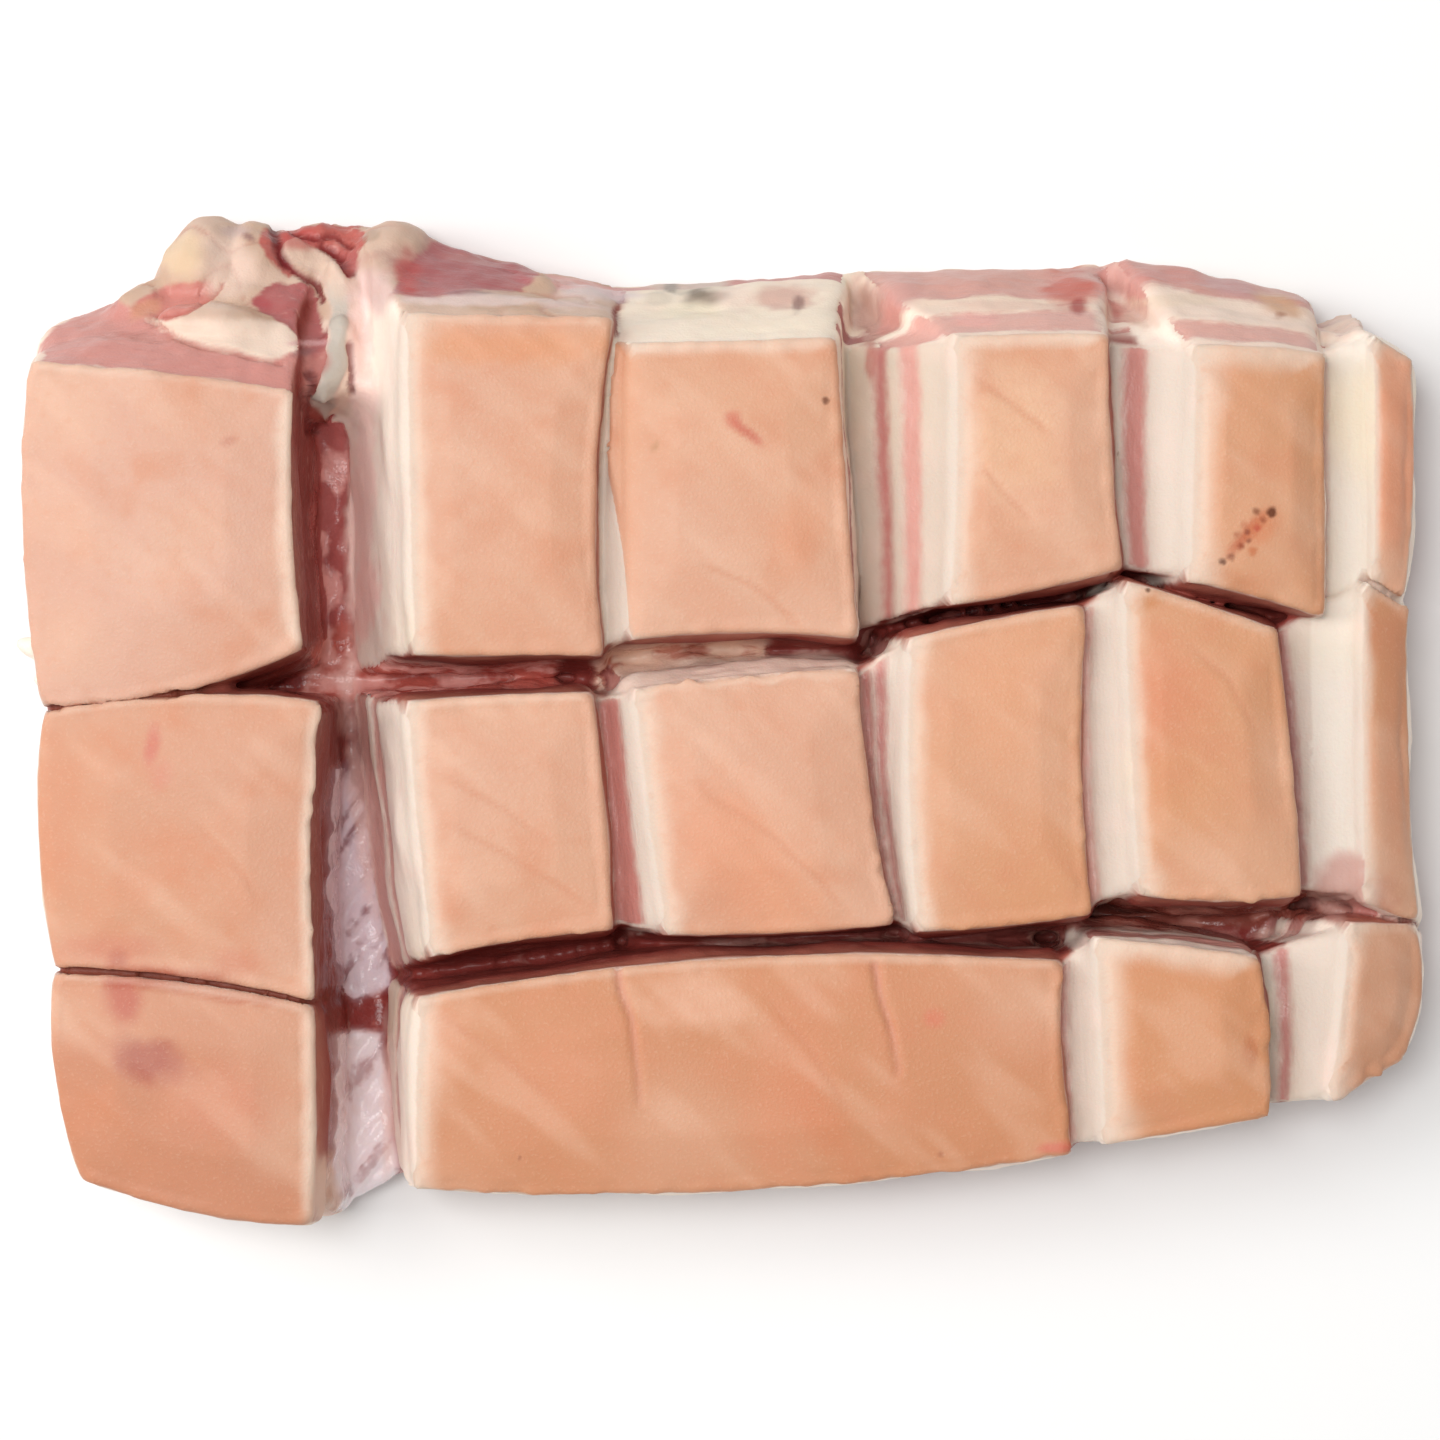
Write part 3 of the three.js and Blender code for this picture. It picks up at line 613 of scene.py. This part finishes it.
def deepest(layers, bands):
    """The layers, with each of the bands where a point lies deeper in it than in the others."""
    for band in bands:
        layers = np.where(band[0] > layers[0], np.stack(np.broadcast_arrays(*band)), layers)
    return layers


def bands_at(share, bands, width):
    """Lean bands, given as shares of the way across width mm, as deepest takes them."""
    return [(np.minimum(share - start, end - share) * width, *tones)
            for start, end, *tones in bands]


def wall_layers():
    level = grain * [1, 1, 0]
    flat_corner = ease(y - x, 90, 190)
    sheets = []
    for number, (middle, half, wander, swell, *tones) in enumerate(SHEETS):
        at = middle + wander * noise((46, 46, 9), 80 + number, level)
        at = at + 0.35 * wander * noise((13, 13, 9), 90 + number, level) - 0.12 * flat_corner
        thick = half + swell * noise((34, 34, 9), 100 + number, level)
        sheets.append(((thick - np.abs(depth_share - at)) * SLAB, *tones))
    layers = deepest(all_fat(DEEP_FAT), sheets)
    at = depth_share + 0.02 * noise((22, 22, 400), 3, grain) + 0.012 * noise((7, 7, 60), 4, grain)
    at += 0.03 * noise((9, 9, 60), 2, grain) * is_far
    for index, shape in enumerate(BLOCKS):
        for wall, bands in shape.layers.items():
            here = on_wall(index, wall)
            layers[0, here] = -DEEP_FAT
            layers[:, here] = deepest(layers[:, here], bands_at(at[here], bands, SLAB))
    return layers


def edge_at(y, far_corner, near_corner, bow):
    """Where a side of a block's rind is in x, at each y."""
    (far_x, far_y), (near_x, near_y) = far_corner, near_corner
    share = np.clip((y - near_y) / (far_y - near_y), 0, 1)
    return near_x + (far_x - near_x) * share + 4 * bow * share * (1 - share)


layers = wall_layers()
layers[0] += 0.9 * noise((9, 9, 2.2), 9, grain)
low_layers = np.stack(np.broadcast_arrays(layers[0], 0.5, 0.1))

# the floors of the narrow cuts
slope = np.zeros(count)
slope_share = np.zeros(count)
band_wander = 0.025 * noise(12, 12)
for low, high, fall, bands in NARROW_CUTS:
    low_rind, high_rind = BLOCKS[low].rind, BLOCKS[high].rind
    low_x = edge_at(y, low_rind[1], low_rind[2], BLOCKS[low].bow[1])
    high_x = edge_at(y, high_rind[0], high_rind[3], -BLOCKS[high].bow[3])
    width = np.maximum(high_x - low_x, 1)
    share = (high_x - x) / width
    at = np.clip(share, 0, 1)
    level = mix(rind_height(high_x, y) - RIND_EDGE, rind_height(low_x, y) - fall, at)
    far_end = mix(high_rind[0][1], low_rind[1][1], at) - SLOPE_SETBACK
    near_end = mix(high_rind[3][1], low_rind[2][1], at) + SLOPE_SETBACK
    here = ease(share, -0.02, 0.05) * ease(share, 1.15, 1.05) * ease(np.abs(z - level), 3, 1.5)
    here *= ease(normal[:, 2], 0.15, 0.4)
    here *= ease(y, near_end - 1, near_end + 0.5) * ease(y, far_end + 1, far_end - 0.5)
    bands = bands_at(share + band_wander, bands, width)
    layers = mix(layers, deepest(all_fat(4.0), bands), here)
    slope = np.maximum(slope, here)
    slope_share = np.maximum(slope_share, share * here)

inside_rind = inside_distance(photo_x, photo_y, RIND_ON_SLOPE)
kept_rind = ease(inside_rind, -5, 4) * ease(slope_share, 1.06, 0.98) * ease(depth, 14, 11)
kept_rind *= owner != 1
cut_edge = mix(cut_edge, -9.0, kept_rind)

# the flap at the far left corner
flap = (photo_x < 545) & (photo_y < 400) & (cut_edge > 0.8)
flap &= ((owner == 0) & is_far) | (photo_y < 300) | (place.distance > 1)
flap |= (owner == 1) & is_far & (cut_edge > 0.8)
flap |= (place.distance > 0.5) & (photo_y < 424) & (photo_x < 385) & (z > 19)
flap_layers = deepest(all_fat(DEEP_FAT), [
    (inside_distance(wander_x, wander_y, outline) / PIXELS_PER_MM, *tones)
    for outline, *tones in LEAN_PATCHES])
flap_share = spread(flap, 3)
off_flap = 1 - flap_share
layers = np.where(flap, mix(flap_layers, low_layers, ease(z, 13, 6)), layers)
lean, red, purple = layers[0], spread(layers[1], 2), spread(layers[2], 2)

# the strand of fat
strand_away, strand_at = path_distance(photo_x + 4 * noise(4, 74), photo_y, STRAND)
strand_width = STRAND_WIDTH * (1 + 0.3 * noise(6, 73))
strand = ease(strand_away, strand_width, 0.6 * strand_width) * (cut_edge > 1.5)
lean = mix(lean, -5.0, strand)


# ------------ the colours
colours = {
    "fat": linear(252, 234, 218), "meat": linear(228, 175, 162), "rind": linear(217, 171, 149),
    "film": linear(*DEEP_FLOOR[0]), "floor": linear(*DEEP_FLOOR[1]),
}


def paint(names, colour, share):
    """Blends a colour, one for all points or one for each, into the named ones."""
    if isinstance(colour, tuple):
        colour = linear(*colour)
    for name in names.split():
        colours[name] = mix(colours[name], colour, share)


def paint_ovals(names, ovals, wander, edge, share):
    """Blends in oval stains, and in the cut faces' table also ovals of painted light. edge is where
    they end and where they are full, as shares.
    """
    for px, py, wide, high, colour, strength, *turn in ovals:
        angle = math.radians(sum(turn))
        cos, sin = math.cos(angle), math.sin(angle)
        dx, dy = photo_x - px, photo_y - py
        away = np.hypot((dx * cos + dy * sin) / wide, (dy * cos - dx * sin) / high)
        paint(names, colour, share * strength * ease(away + wander, *edge))


# the fat and lean of the cut walls
grey = 0.3 * ((owner == 2) & is_far) + slope * ease(slope_share, 0.64, 0.72) * (
    0.2 * (owner <= 3) * (x > 15) * (x < 50) + 0.3 * (y < -38) * (x > 100))
grey = np.clip(spread(grey, 4) + 0.8 * strand, 0, 1)
muted = spread(is_far & np.isin(owner, (3, 4)), 4)
# duller fat on the slopes; at the top of the left walls the same duller colour is painted shade
# that tones down where the lamps from the left light them most
paint("fat", (220, 203, 188), np.maximum(
    slope, is_left * ease(depth, 8, 4) * (1 - 0.25 * np.isin(owner, EVEN_LEFTS))))
paint("fat", (238, 228, 214), 0.6 * slope * (x > 120) * (y > -42))
paint("fat", (206, 184, 166), 0.5 * slope * (x > 15) * (x < 50) * (y > 20))
paint("fat", (196, 184, 172), grey)
paint("fat", (240, 208, 194), 0.5 * ease(patchy, 0.0, 0.9) * (1 - 0.6 * slope))
paint("fat", (238, 220, 188), 0.5 * ease(broad, 0.1, 0.8) * (1 - grey))
paint("fat", (222, 190, 170), 0.55 * muted)
paint("meat", (182, 88, 78), red)
paint("meat", (160, 96, 100), purple)
paint("meat", (200, 152, 140), 0.5 * muted)

# the flap and the strand
loose = spread(flap & (photo_y < 320), 3) * (1 - strand)
fold = loose * ease(np.abs(noise(9, 27)), 0.09, 0.0) * ease(broad, -0.2, 0.3)
loose_colour = blend((204, 172, 152), (188, 150, 122), ease(patchy, -0.4, 0.8))
strand_colour = blend((220, 190, 170), (192, 182, 170), ease(
    strand_at + 0.1 * patchy, 0.15, 0.45))
strand_colour = mix(strand_colour, linear(212, 172, 162), 0.6 * ease(strand_away, 7, 12))
paint("fat", (228, 202, 184), 0.85 * flap_share)
paint("fat", loose_colour, 0.85 * loose)
paint("fat", (180, 112, 96), 0.4 * fold)
paint("fat", strand_colour, strand)

# the floors of the wide cuts
open_end = np.maximum(ease(photo_y, 345, 325) * (photo_x > 820),
                      ease(photo_y, 690, 660) * (photo_x > 1315))
in_cut = ~is_outer & (underside < 0.5) & (cut_edge > 1)
on_floor = in_cut & ~flap
level_floor = np.maximum(ease(normal[:, 2], 0.45, 0.75) * ease(z, 24, 16), ease(z, 14.5, 12.5))
wet = on_floor * level_floor * off_flap * (1 - open_end) * (1 - strand)
near_floor = on_floor * ~is_left * ease(z, 34, 24) * (1 - strand) * (1 - slope) * off_flap
drawn = np.zeros(count)
floor_lean = DEEP_FLOOR[2]
for number, (outline, film, meat, bias) in enumerate(FLOORS):
    here = ease(inside_distance(wander_x, wander_y, outline) / PIXELS_PER_MM, -1.5, 0.8)
    wet = np.maximum(wet, here * near_floor)
    drawn = np.maximum(drawn, here * (number in DRAWN_FILMS))
    paint("film", film, here)
    paint("floor", meat, here)
    floor_lean = mix(floor_lean, bias, here)
crossways = spread(is_far | is_near, 4)
folds = mix(noise((2.6, 8, 4), 50), noise((8, 2.6, 4), 51), crossways)
drawn_grain = np.stack([0.6 * x + 0.8 * y, 0.8 * x - 0.6 * y, z], axis=1)
folds = mix(folds, noise((14, 1.5, 12), 53, drawn_grain), drawn)
floor_lean = floor_lean + 1.6 * folds + 0.8 * (1 - drawn) * noise(2.4, 52)
lean = mix(lean, floor_lean, wet)
paint("fat", colours["film"], wet)
paint("meat", colours["floor"], wet)

# the underside: lean under a thin silver skin, with fat between
lean = mix(lean, 5 * noise((26, 12, 20), 60) + 2 * noise(5, 61) + 0.8, underside)
paint("meat", blend((188, 108, 102), (206, 140, 134), ease(broad, -0.5, 0.5)), underside)
paint("fat", (236, 214, 202), underside)

# painted shade deep between two near walls, darkest where the meat is
off_floor = (1 - wet) * (1 - slope)
shut_end = 1 - 0.9 * open_end
painted_gap_shade = in_cut * ease(place.across, 6, 1.5) * ease(depth, 3, 16) * off_floor * shut_end
painted_gap_shade = spread(painted_gap_shade * (1 - 0.85 * flap_share) * np.where(is_left, 0.1, 1.0), 3)
paint("fat", (158, 84, 76), 0.8 * painted_gap_shade)
paint("meat", (130, 50, 46), 0.8 * painted_gap_shade)

# painted shade on inner walls that face right or near, away from the lamps, and on some far walls,
# darker deeper down
shaded = in_cut & (is_right | is_near | is_far & np.isin(owner, DARK_FAR))
for index, wall in PALE_INNER:
    shaded &= ~on_wall(index, wall)
shaded = spread(shaded, 2) * ease(depth, 1.5, 4) * off_floor * off_flap * shut_end
shade_colour = blend((180, 110, 92), (146, 64, 56), ease(depth, 3, 12))
paint("fat", shade_colour, shaded)
paint("meat", mix(shade_colour, linear(120, 44, 42), 0.4), shaded)

# painted shade along the line where a wall meets the next one or a slope ends
painted_crease_shade = in_cut * ease(place.across, 1.8, 0.5) * ease(depth, 2, 5) * off_floor
painted_crease_shade = np.maximum(painted_crease_shade, slope * ease(slope_share, 0.88, 1.0)) * off_flap * shut_end
paint("fat", (134, 62, 50), 0.8 * painted_crease_shade)
paint("meat", (126, 50, 44), 0.8 * painted_crease_shade)

# stains and painted light of the cut faces, and crevices with painted shade
cut_side = (cut_edge > 1.0) & (underside < 0.5) & (z > 5)
paint_ovals("fat meat", WALL_STAINS_AND_LIGHT, 0.4 * patchy + 0.2 * mottle, (1.3, 0.5), cut_side)
crevice = np.zeros(count)
crevice_x = photo_x + 4 * noise(4, 71)
for path, half_width, colour, strength in CREVICES:
    away, _ = path_distance(crevice_x, photo_y, path)
    here = cut_side * strength * ease(away, 1.4 * half_width, 0.4 * half_width) * (1 - strand)
    paint("fat meat", colour, here)
    crevice = np.maximum(crevice, here)

# the colour of the rind
warmth, darkness = np.array(RIND_TONES)[owner].T
paint("rind", (212, 151, 108), np.clip(warmth + 0.25 * broad, 0, 1))
paint("rind", (190, 122, 92), np.clip(0.6 * darkness, 0, 1))
paint("rind", (228, 184, 156), np.clip(-darkness, 0, 1))
paint("rind", (208, 138, 104), 0.5 * ease(patchy + 0.5 * broad, 0.0, 1.0))
paint("rind", (224, 180, 152), 0.45 * ease(-broad, 0.1, 0.8))
paint_ovals("rind", STAINS, 0.3 * patchy + 0.15 * mottle, (1.35, 0.3), 1)
# paler and darker diagonal streaks: painted highlight and shade of the rind's soft wrinkles
diagonal = np.stack([0.75 * x - 0.66 * y, 0.66 * x + 0.75 * y, z], axis=1)
streaks = noise((22, 6.0, 40), 35, diagonal) + 0.5 * noise((9, 2.4, 40), 36, diagonal)
paint("rind", (236, 196, 170), 0.2 * ease(streaks, 0.1, 0.9))
paint("rind", (208, 136, 102), 0.22 * ease(-streaks, 0.1, 0.9))
crinkle = np.zeros(count)
crinkle_x = photo_x + 3 * noise(6, 72)
for path in CREASES:
    away, at = path_distance(crinkle_x, photo_y, path)
    crinkle = np.maximum(crinkle, ease(away, 4.5, 0.8) * ease(np.abs(at - 0.5), 0.5, 0.25))
# painted shade along the rind's creases
paint("rind", (204, 136, 104), 0.4 * crinkle)

# the pale rims of the rind
rim_width, rim_strength = np.array([RIMS[wall] for wall in WALLS])[side].T
for index, wall, width in WIDE_RIMS:
    here = on_wall(index, wall)
    rim_width = np.where(here, width, rim_width)
    rim_strength = np.where(here, np.maximum(rim_strength, 0.65), rim_strength)
rim_width = spread(rim_width, 4) * (1 + 0.35 * noise(6, 44))
rim_strength = spread(rim_strength, 4) * (1 + 0.3 * noise(9, 45))
paint("rind", (232, 208, 188), np.clip(rim_strength * ease(cut_edge, -rim_width, 0.5), 0, 1))
left_width = np.array([LEFT_RIMS.get(index, LEFT_RIM) for index in range(len(BLOCKS))])[owner]
left_width = left_width * (1 + 0.3 * noise(6, 46))
left_edge = depth - np.clip(-place.left, 0, 30) * upward
left_rim = ease(left_edge, -left_width, 0.5) * ~np.isin(owner, OUTER[LEFT]) * (1 - kept_rind)
left_rim *= 1 - ease(inside_rind, -12, 4)
rim_colour = blend((232, 208, 188), (216, 194, 176), ease(left_edge, -3, -0.5))
paint("rind", rim_colour, 0.95 * left_rim)
thickness = np.array([RIND_THICKNESS[wall] for wall in WALLS])[side]
thickness = spread(np.where(is_outer, OUTER_THICKNESS, thickness), 3)

# cracks where two blocks still touch, sunk in and painted dark as the shade of the shut gap, and
# scores
crack = ease(place.distance, -0.5, 0.1) * ease(place.across, 1.8, 0.8) * ease(depth, 8, 4)
crack *= 1 - slope
score = np.zeros(count)
score_x = photo_x + 2 * noise(7, 70)
for path in SCORES:
    away, at = path_distance(score_x, photo_y, path)
    score = np.maximum(score, ease(away, 6.0, 1.0) * (1 - 0.6 * at) * (cut_edge < 3))
paint("rind", (206, 140, 120), 0.65 * score)
painted_crack_shade = np.clip(1.2 * crack, 0, 1) * (1 - 0.7 * (photo_x > 1300))
paint("rind fat", (132, 66, 50), painted_crack_shade)


# ------------ relief
# in mm along each point's normal
wall_share = ease(cut_edge, 1.0, 4.0) * (1 - underside)
rind_share = ease(cut_edge, 0.5, -1.5)
lift_fat = 1 - 0.7 * ease(lean, 0.3, -0.8) * is_left
dry = wall_share * (1 - wet)
creased = ease(noise(30, 33), -0.2, 0.5) * rind_share
granular = flap_share * ease(lean, -0.5, 0.5) * ease(red, 0.5, 0.8) * ease(photo_x, 380, 366)
lift = rind_share * (0.3 * noise(26, 20) + 0.12 * noise(9, 21) - 0.2 * crinkle)
lift += creased * 0.16 * noise((16, 2.6, 30), 34, diagonal)
lift += wall_share * 0.45 * noise(13, 22)
lift -= dry * 0.25 * np.tanh(lean / 0.9)
lift += dry * lift_fat * 0.1 * noise((12, 12, 2.0), 23, grain)
lift += wall_share * lift_fat * 0.16 * noise(2.6, 24)
lift += wet * (0.9 * folds + 0.35 * noise(2.4, 26))
lift += flap_share * (0.4 * noise(8, 27) + 0.25 * noise(3.2, 28))
lift += granular * (0.5 * noise(2.6, 78) + 0.25 * noise(1.6, 79))
lift += is_outer * is_far * ease(z, 36, 24) * 0.5 * noise(5, 37)
lift += strand * (0.2 + 0.6 * noise(4.0, 76) + 0.2 * noise(1.8, 77))
lift += underside * (0.5 * noise((30, 10, 20), 30) - 0.2 * np.tanh(lean))
lift += ease(np.abs(cut_edge - 0.8), 3.5, 1.0) * 0.2 * noise(3.0, 29)
lift -= 0.3 * fold + 1.0 * crevice + 1.5 * crack + 0.8 * score
moved = points + normal * lift[:, None]

# torn edges of the rind
ragged = np.zeros(count)
for index, wall, amount in RAGGED:
    ragged = np.where(on_wall(index, wall), amount, ragged)
tear = ragged * ease(np.abs(cut_edge - 0.4), 3.0, 0.8) * (1.6 * noise(2.4, 31) + 0.8 * noise(5, 32))
moved += normal * [1, 1, 0] * tear[:, None]

# the rind that still covers a slope, and the level underside
moved[:, 2] += 4.2 * kept_rind * slope * np.clip(slope_share, 0, 1)
moved[:, 2] = np.maximum(moved[:, 2], 0.02)
moved[:, 2] = np.where(z < 0.4, np.minimum(moved[:, 2], 0.4), moved[:, 2])
set_coordinates(moved)
mesh.shade_smooth()


def store(name, values):
    """Keeps a number or a colour for each vertex where the material can read it."""
    is_colour = values.ndim > 1
    if is_colour:
        values = np.concatenate([values, np.ones((count, 1))], axis=1)
    attribute = mesh.attributes.new(name, "FLOAT_COLOR" if is_colour else "FLOAT", "POINT")
    flat = np.ascontiguousarray(values, np.float32).ravel()
    attribute.data.foreach_set("color" if is_colour else "value", flat)


bare = (1 - wet) * off_flap
calm = np.maximum(slope, 0.7 * (is_left | is_far)) * bare
calm = np.maximum(calm, 0.65 * flap_share * (1 - granular))
store("cut_edge", cut_edge - thickness)
store("lean", np.clip(lean * (1 - 0.55 * np.maximum(slope, is_left | is_far) * bare), -6, 6))
store("moist", np.clip(0.6 * ease(lean, -0.5, 0.6) + wet, 0, 1) * wall_share)
store("depth", mix(depth, 14 * slope_share, slope))
store("calm", spread(np.clip(calm, 0, 1), 2))
for name in ("rind", "fat", "meat"):
    store(name + "_colour", colours[name])


# ------------ the material

class Nodes:
    """A new material and short names for making its nodes. An input is a number, a colour or a
    socket."""

    def __init__(self, name):
        self.material = bpy.data.materials.new(name)
        self.material.use_nodes = True
        self.tree = self.material.node_tree
        self.tree.nodes.clear()
        self.where = self.add("ShaderNodeTexCoord", {}).outputs["Object"]

    def add(self, kind, inputs, **settings):
        node = self.tree.nodes.new(kind)
        for key, value in settings.items():
            setattr(node, key, value)
        for key, value in inputs.items():
            if isinstance(value, bpy.types.NodeSocket):
                self.tree.links.new(value, node.inputs[key])
            else:
                node.inputs[key].default_value = value
        return node

    def attribute(self, name, output="Fac"):
        return self.add("ShaderNodeAttribute", {}, attribute_name=name).outputs[output]

    def math(self, operation, first, second):
        return self.add("ShaderNodeMath", {0: first, 1: second}, operation=operation).outputs[0]

    def vector(self, operation, first, second, output=0):
        inputs = {0: first, 1: second}
        return self.add("ShaderNodeVectorMath", inputs, operation=operation).outputs[output]

    def ease(self, value, low, high, start=0.0, end=1.0):
        inputs = {"Value": value, "From Min": low, "From Max": high, "To Min": start, "To Max": end}
        node = self.add("ShaderNodeMapRange", inputs, interpolation_type="SMOOTHSTEP")
        return node.outputs["Result"]

    def mix(self, factor, first, second):
        inputs = {0: factor, 6: first, 7: second}
        return self.add("ShaderNodeMix", inputs, data_type="RGBA").outputs[2]

    def noise(self, vector, size, detail):
        """Noise about 0, from -1 to 1, whose bumps are about size wide."""
        inputs = {"Vector": vector, "Scale": 1 / size, "Detail": detail}
        node = self.add("ShaderNodeTexNoise", inputs, noise_dimensions="3D")
        return self.math("MULTIPLY", self.math("SUBTRACT", node.outputs[0], 0.5), 3.5)

    def shaded(self, inputs):
        """The material, with a shader that has these inputs."""
        shader = self.add("ShaderNodeBsdfPrincipled", inputs)
        self.add("ShaderNodeOutputMaterial", {"Surface": shader.outputs[0]})
        return self.material


def screen(*parts):
    return (*linear(*parts), 1.0)


def dot_middle(px, py):
    """Where a dot of the photograph lies in the frame, in mm, a little under the rind."""
    reach = (CAMERA_HEIGHT - DOT_LEVEL) / PHOTO_SCALE
    return ((px - PHOTO_MIDDLE) * reach - CENTRE[0], (PHOTO_MIDDLE - py) * reach - CENTRE[1],
            DOT_LEVEL - 0.5)


def belly_material():
    n = Nodes("raw_pork")
    mm = n.vector("MULTIPLY", n.where, (MM_PER_M, MM_PER_M, MM_PER_M))
    edge, lean, moist, depth_mm, calm = [
        n.attribute(name) for name in ("cut_edge", "lean", "moist", "depth", "calm")]
    rind, fat, meat = [n.attribute(name + "_colour", "Color") for name in ("rind", "fat", "meat")]
    rough_edges = n.math("SUBTRACT", 1.0, n.math("MULTIPLY", calm, 0.75))

    flat = n.vector("MULTIPLY", mm, (1 / 4, 1 / 4, 0))
    deep = n.add("ShaderNodeCombineXYZ", {"Z": n.math("DIVIDE", depth_mm, 1.1)}).outputs[0]
    small = n.noise(mm, 2.0, 2)
    tiny = n.noise(mm, 0.6, 1)
    fibre = n.noise(n.vector("ADD", flat, deep), 1.0, 2)

    rind = n.mix(n.ease(small, 0.0, 1.2, 0, 0.2), rind, screen(214, 146, 114))
    rind = n.mix(n.ease(tiny, 0.2, 1.0, 0, 0.1), rind, screen(248, 214, 190))
    jitter = n.math("MULTIPLY", small, 0.35)
    for px, py, size, colour, strength in DOTS:
        away = n.vector("DISTANCE", mm, dot_middle(px, py), "Value")
        reach = size / DOT_PIXELS_PER_MM
        share = n.ease(n.math("ADD", away, jitter), 1.3 * reach, 0.4 * reach, 0, strength)
        rind = n.mix(share, rind, screen(*colour))

    fat = n.mix(n.ease(fibre, 0.2, 1.3, 0, 0.2), fat, screen(232, 190, 176))
    darker = n.math("MULTIPLY", n.ease(fibre, 0.1, 1.2, 0, 0.32), rough_edges)
    paler = n.math("MULTIPLY", n.ease(fibre, -0.3, -1.2, 0, 0.35), rough_edges)
    meat = n.mix(darker, meat, screen(150, 70, 66))
    meat = n.mix(paler, meat, screen(232, 186, 174))
    wander = n.math("ADD", n.math("MULTIPLY", fibre, 0.6), n.math("MULTIPLY", small, 0.35))
    lean_wander = n.math("ADD", lean, n.math("MULTIPLY", wander, rough_edges))
    cut = n.mix(n.ease(lean_wander, -0.5, 0.6), fat, meat)
    edge_wander = n.math("ADD", edge, n.math("MULTIPLY", small, 0.4))
    colour = n.mix(n.ease(edge_wander, -0.6, 0.7), rind, cut)

    rough = n.math("ADD", n.ease(moist, 0, 1, 0.5, 0.25), n.math("MULTIPLY", small, 0.05))
    ridge = n.math("MULTIPLY", fibre, n.ease(edge, 0.5, 2.5, 0.0, 0.07))
    ridge = n.math("MULTIPLY", ridge, n.ease(lean, -1.0, 0.2, 0.3, 1.0))
    height_mm = n.math("ADD", ridge, n.math("MULTIPLY", tiny, 0.022))
    bump = n.add("ShaderNodeBump", {"Height": height_mm, "Strength": 1.0,
                                    "Distance": 1 / MM_PER_M})
    return n.shaded({
        "Base Color": colour, "Roughness": rough, "Normal": bump.outputs[0],
        "Subsurface Weight": 0.1, "Subsurface Radius": (0.003, 0.0013, 0.0008),
        "Subsurface Scale": 1.0, "Specular IOR Level": 0.35, "IOR": 1.4,
    })


mesh.materials.append(belly_material())
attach(belly, "root")
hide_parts("pork_belly")


# ------------ floor, light and camera

def floor_material():
    n = Nodes("floor")
    cloud = n.add("ShaderNodeTexNoise", {"Vector": n.where, "Scale": 2.5}).outputs[0]
    colour = n.mix(cloud, screen(241, 241, 240), screen(246, 246, 245))
    return n.shaded({"Base Color": colour, "Roughness": 0.8, "Specular IOR Level": 0.1})


bpy.ops.mesh.primitive_plane_add(size=6, location=(0, 0, 0))
floor = bpy.context.object
floor.name = "floor"
floor.data.materials.append(floor_material())


def area_light(name, place_m, size, power):
    """A square light that faces the slab. power is the share that it adds to a level top."""
    away = Vector(place_m)
    light = bpy.data.lights.new(name, "AREA")
    light.shape = "SQUARE"
    light.size = size
    light.energy = power * math.pi ** 2 * away.length ** 3 / away.z
    lamp = bpy.data.objects.new(name, light)
    lamp.location = place_m
    lamp.rotation_euler = (-away).to_track_quat("-Z", "Y").to_euler()
    bpy.context.scene.collection.objects.link(lamp)


area_light("key", (-1.6, 0.58, 2.5), 1.7, 0.33)
area_light("side", (-2.2, 0.3, 1.3), 0.8, 0.1)
area_light("overhead", (-0.38, 0.2, 2.4), 0.6, 0.39)

world = bpy.data.worlds.new("studio")
world.use_nodes = True
background = world.node_tree.nodes["Background"]
background.inputs["Color"].default_value = (1, 1, 1, 1)
background.inputs["Strength"].default_value = 0.38
bpy.context.scene.world = world

view = bpy.data.cameras.new("camera")
view.lens = 125
view.sensor_width = 36
view.clip_end = 20
camera = bpy.data.objects.new("camera", view)
camera.location = [v / MM_PER_M for v in (-CENTRE[0], -CENTRE[1], CAMERA_HEIGHT)]
bpy.context.scene.collection.objects.link(camera)
bpy.context.scene.camera = camera
bpy.context.scene.view_settings.view_transform = "Standard"
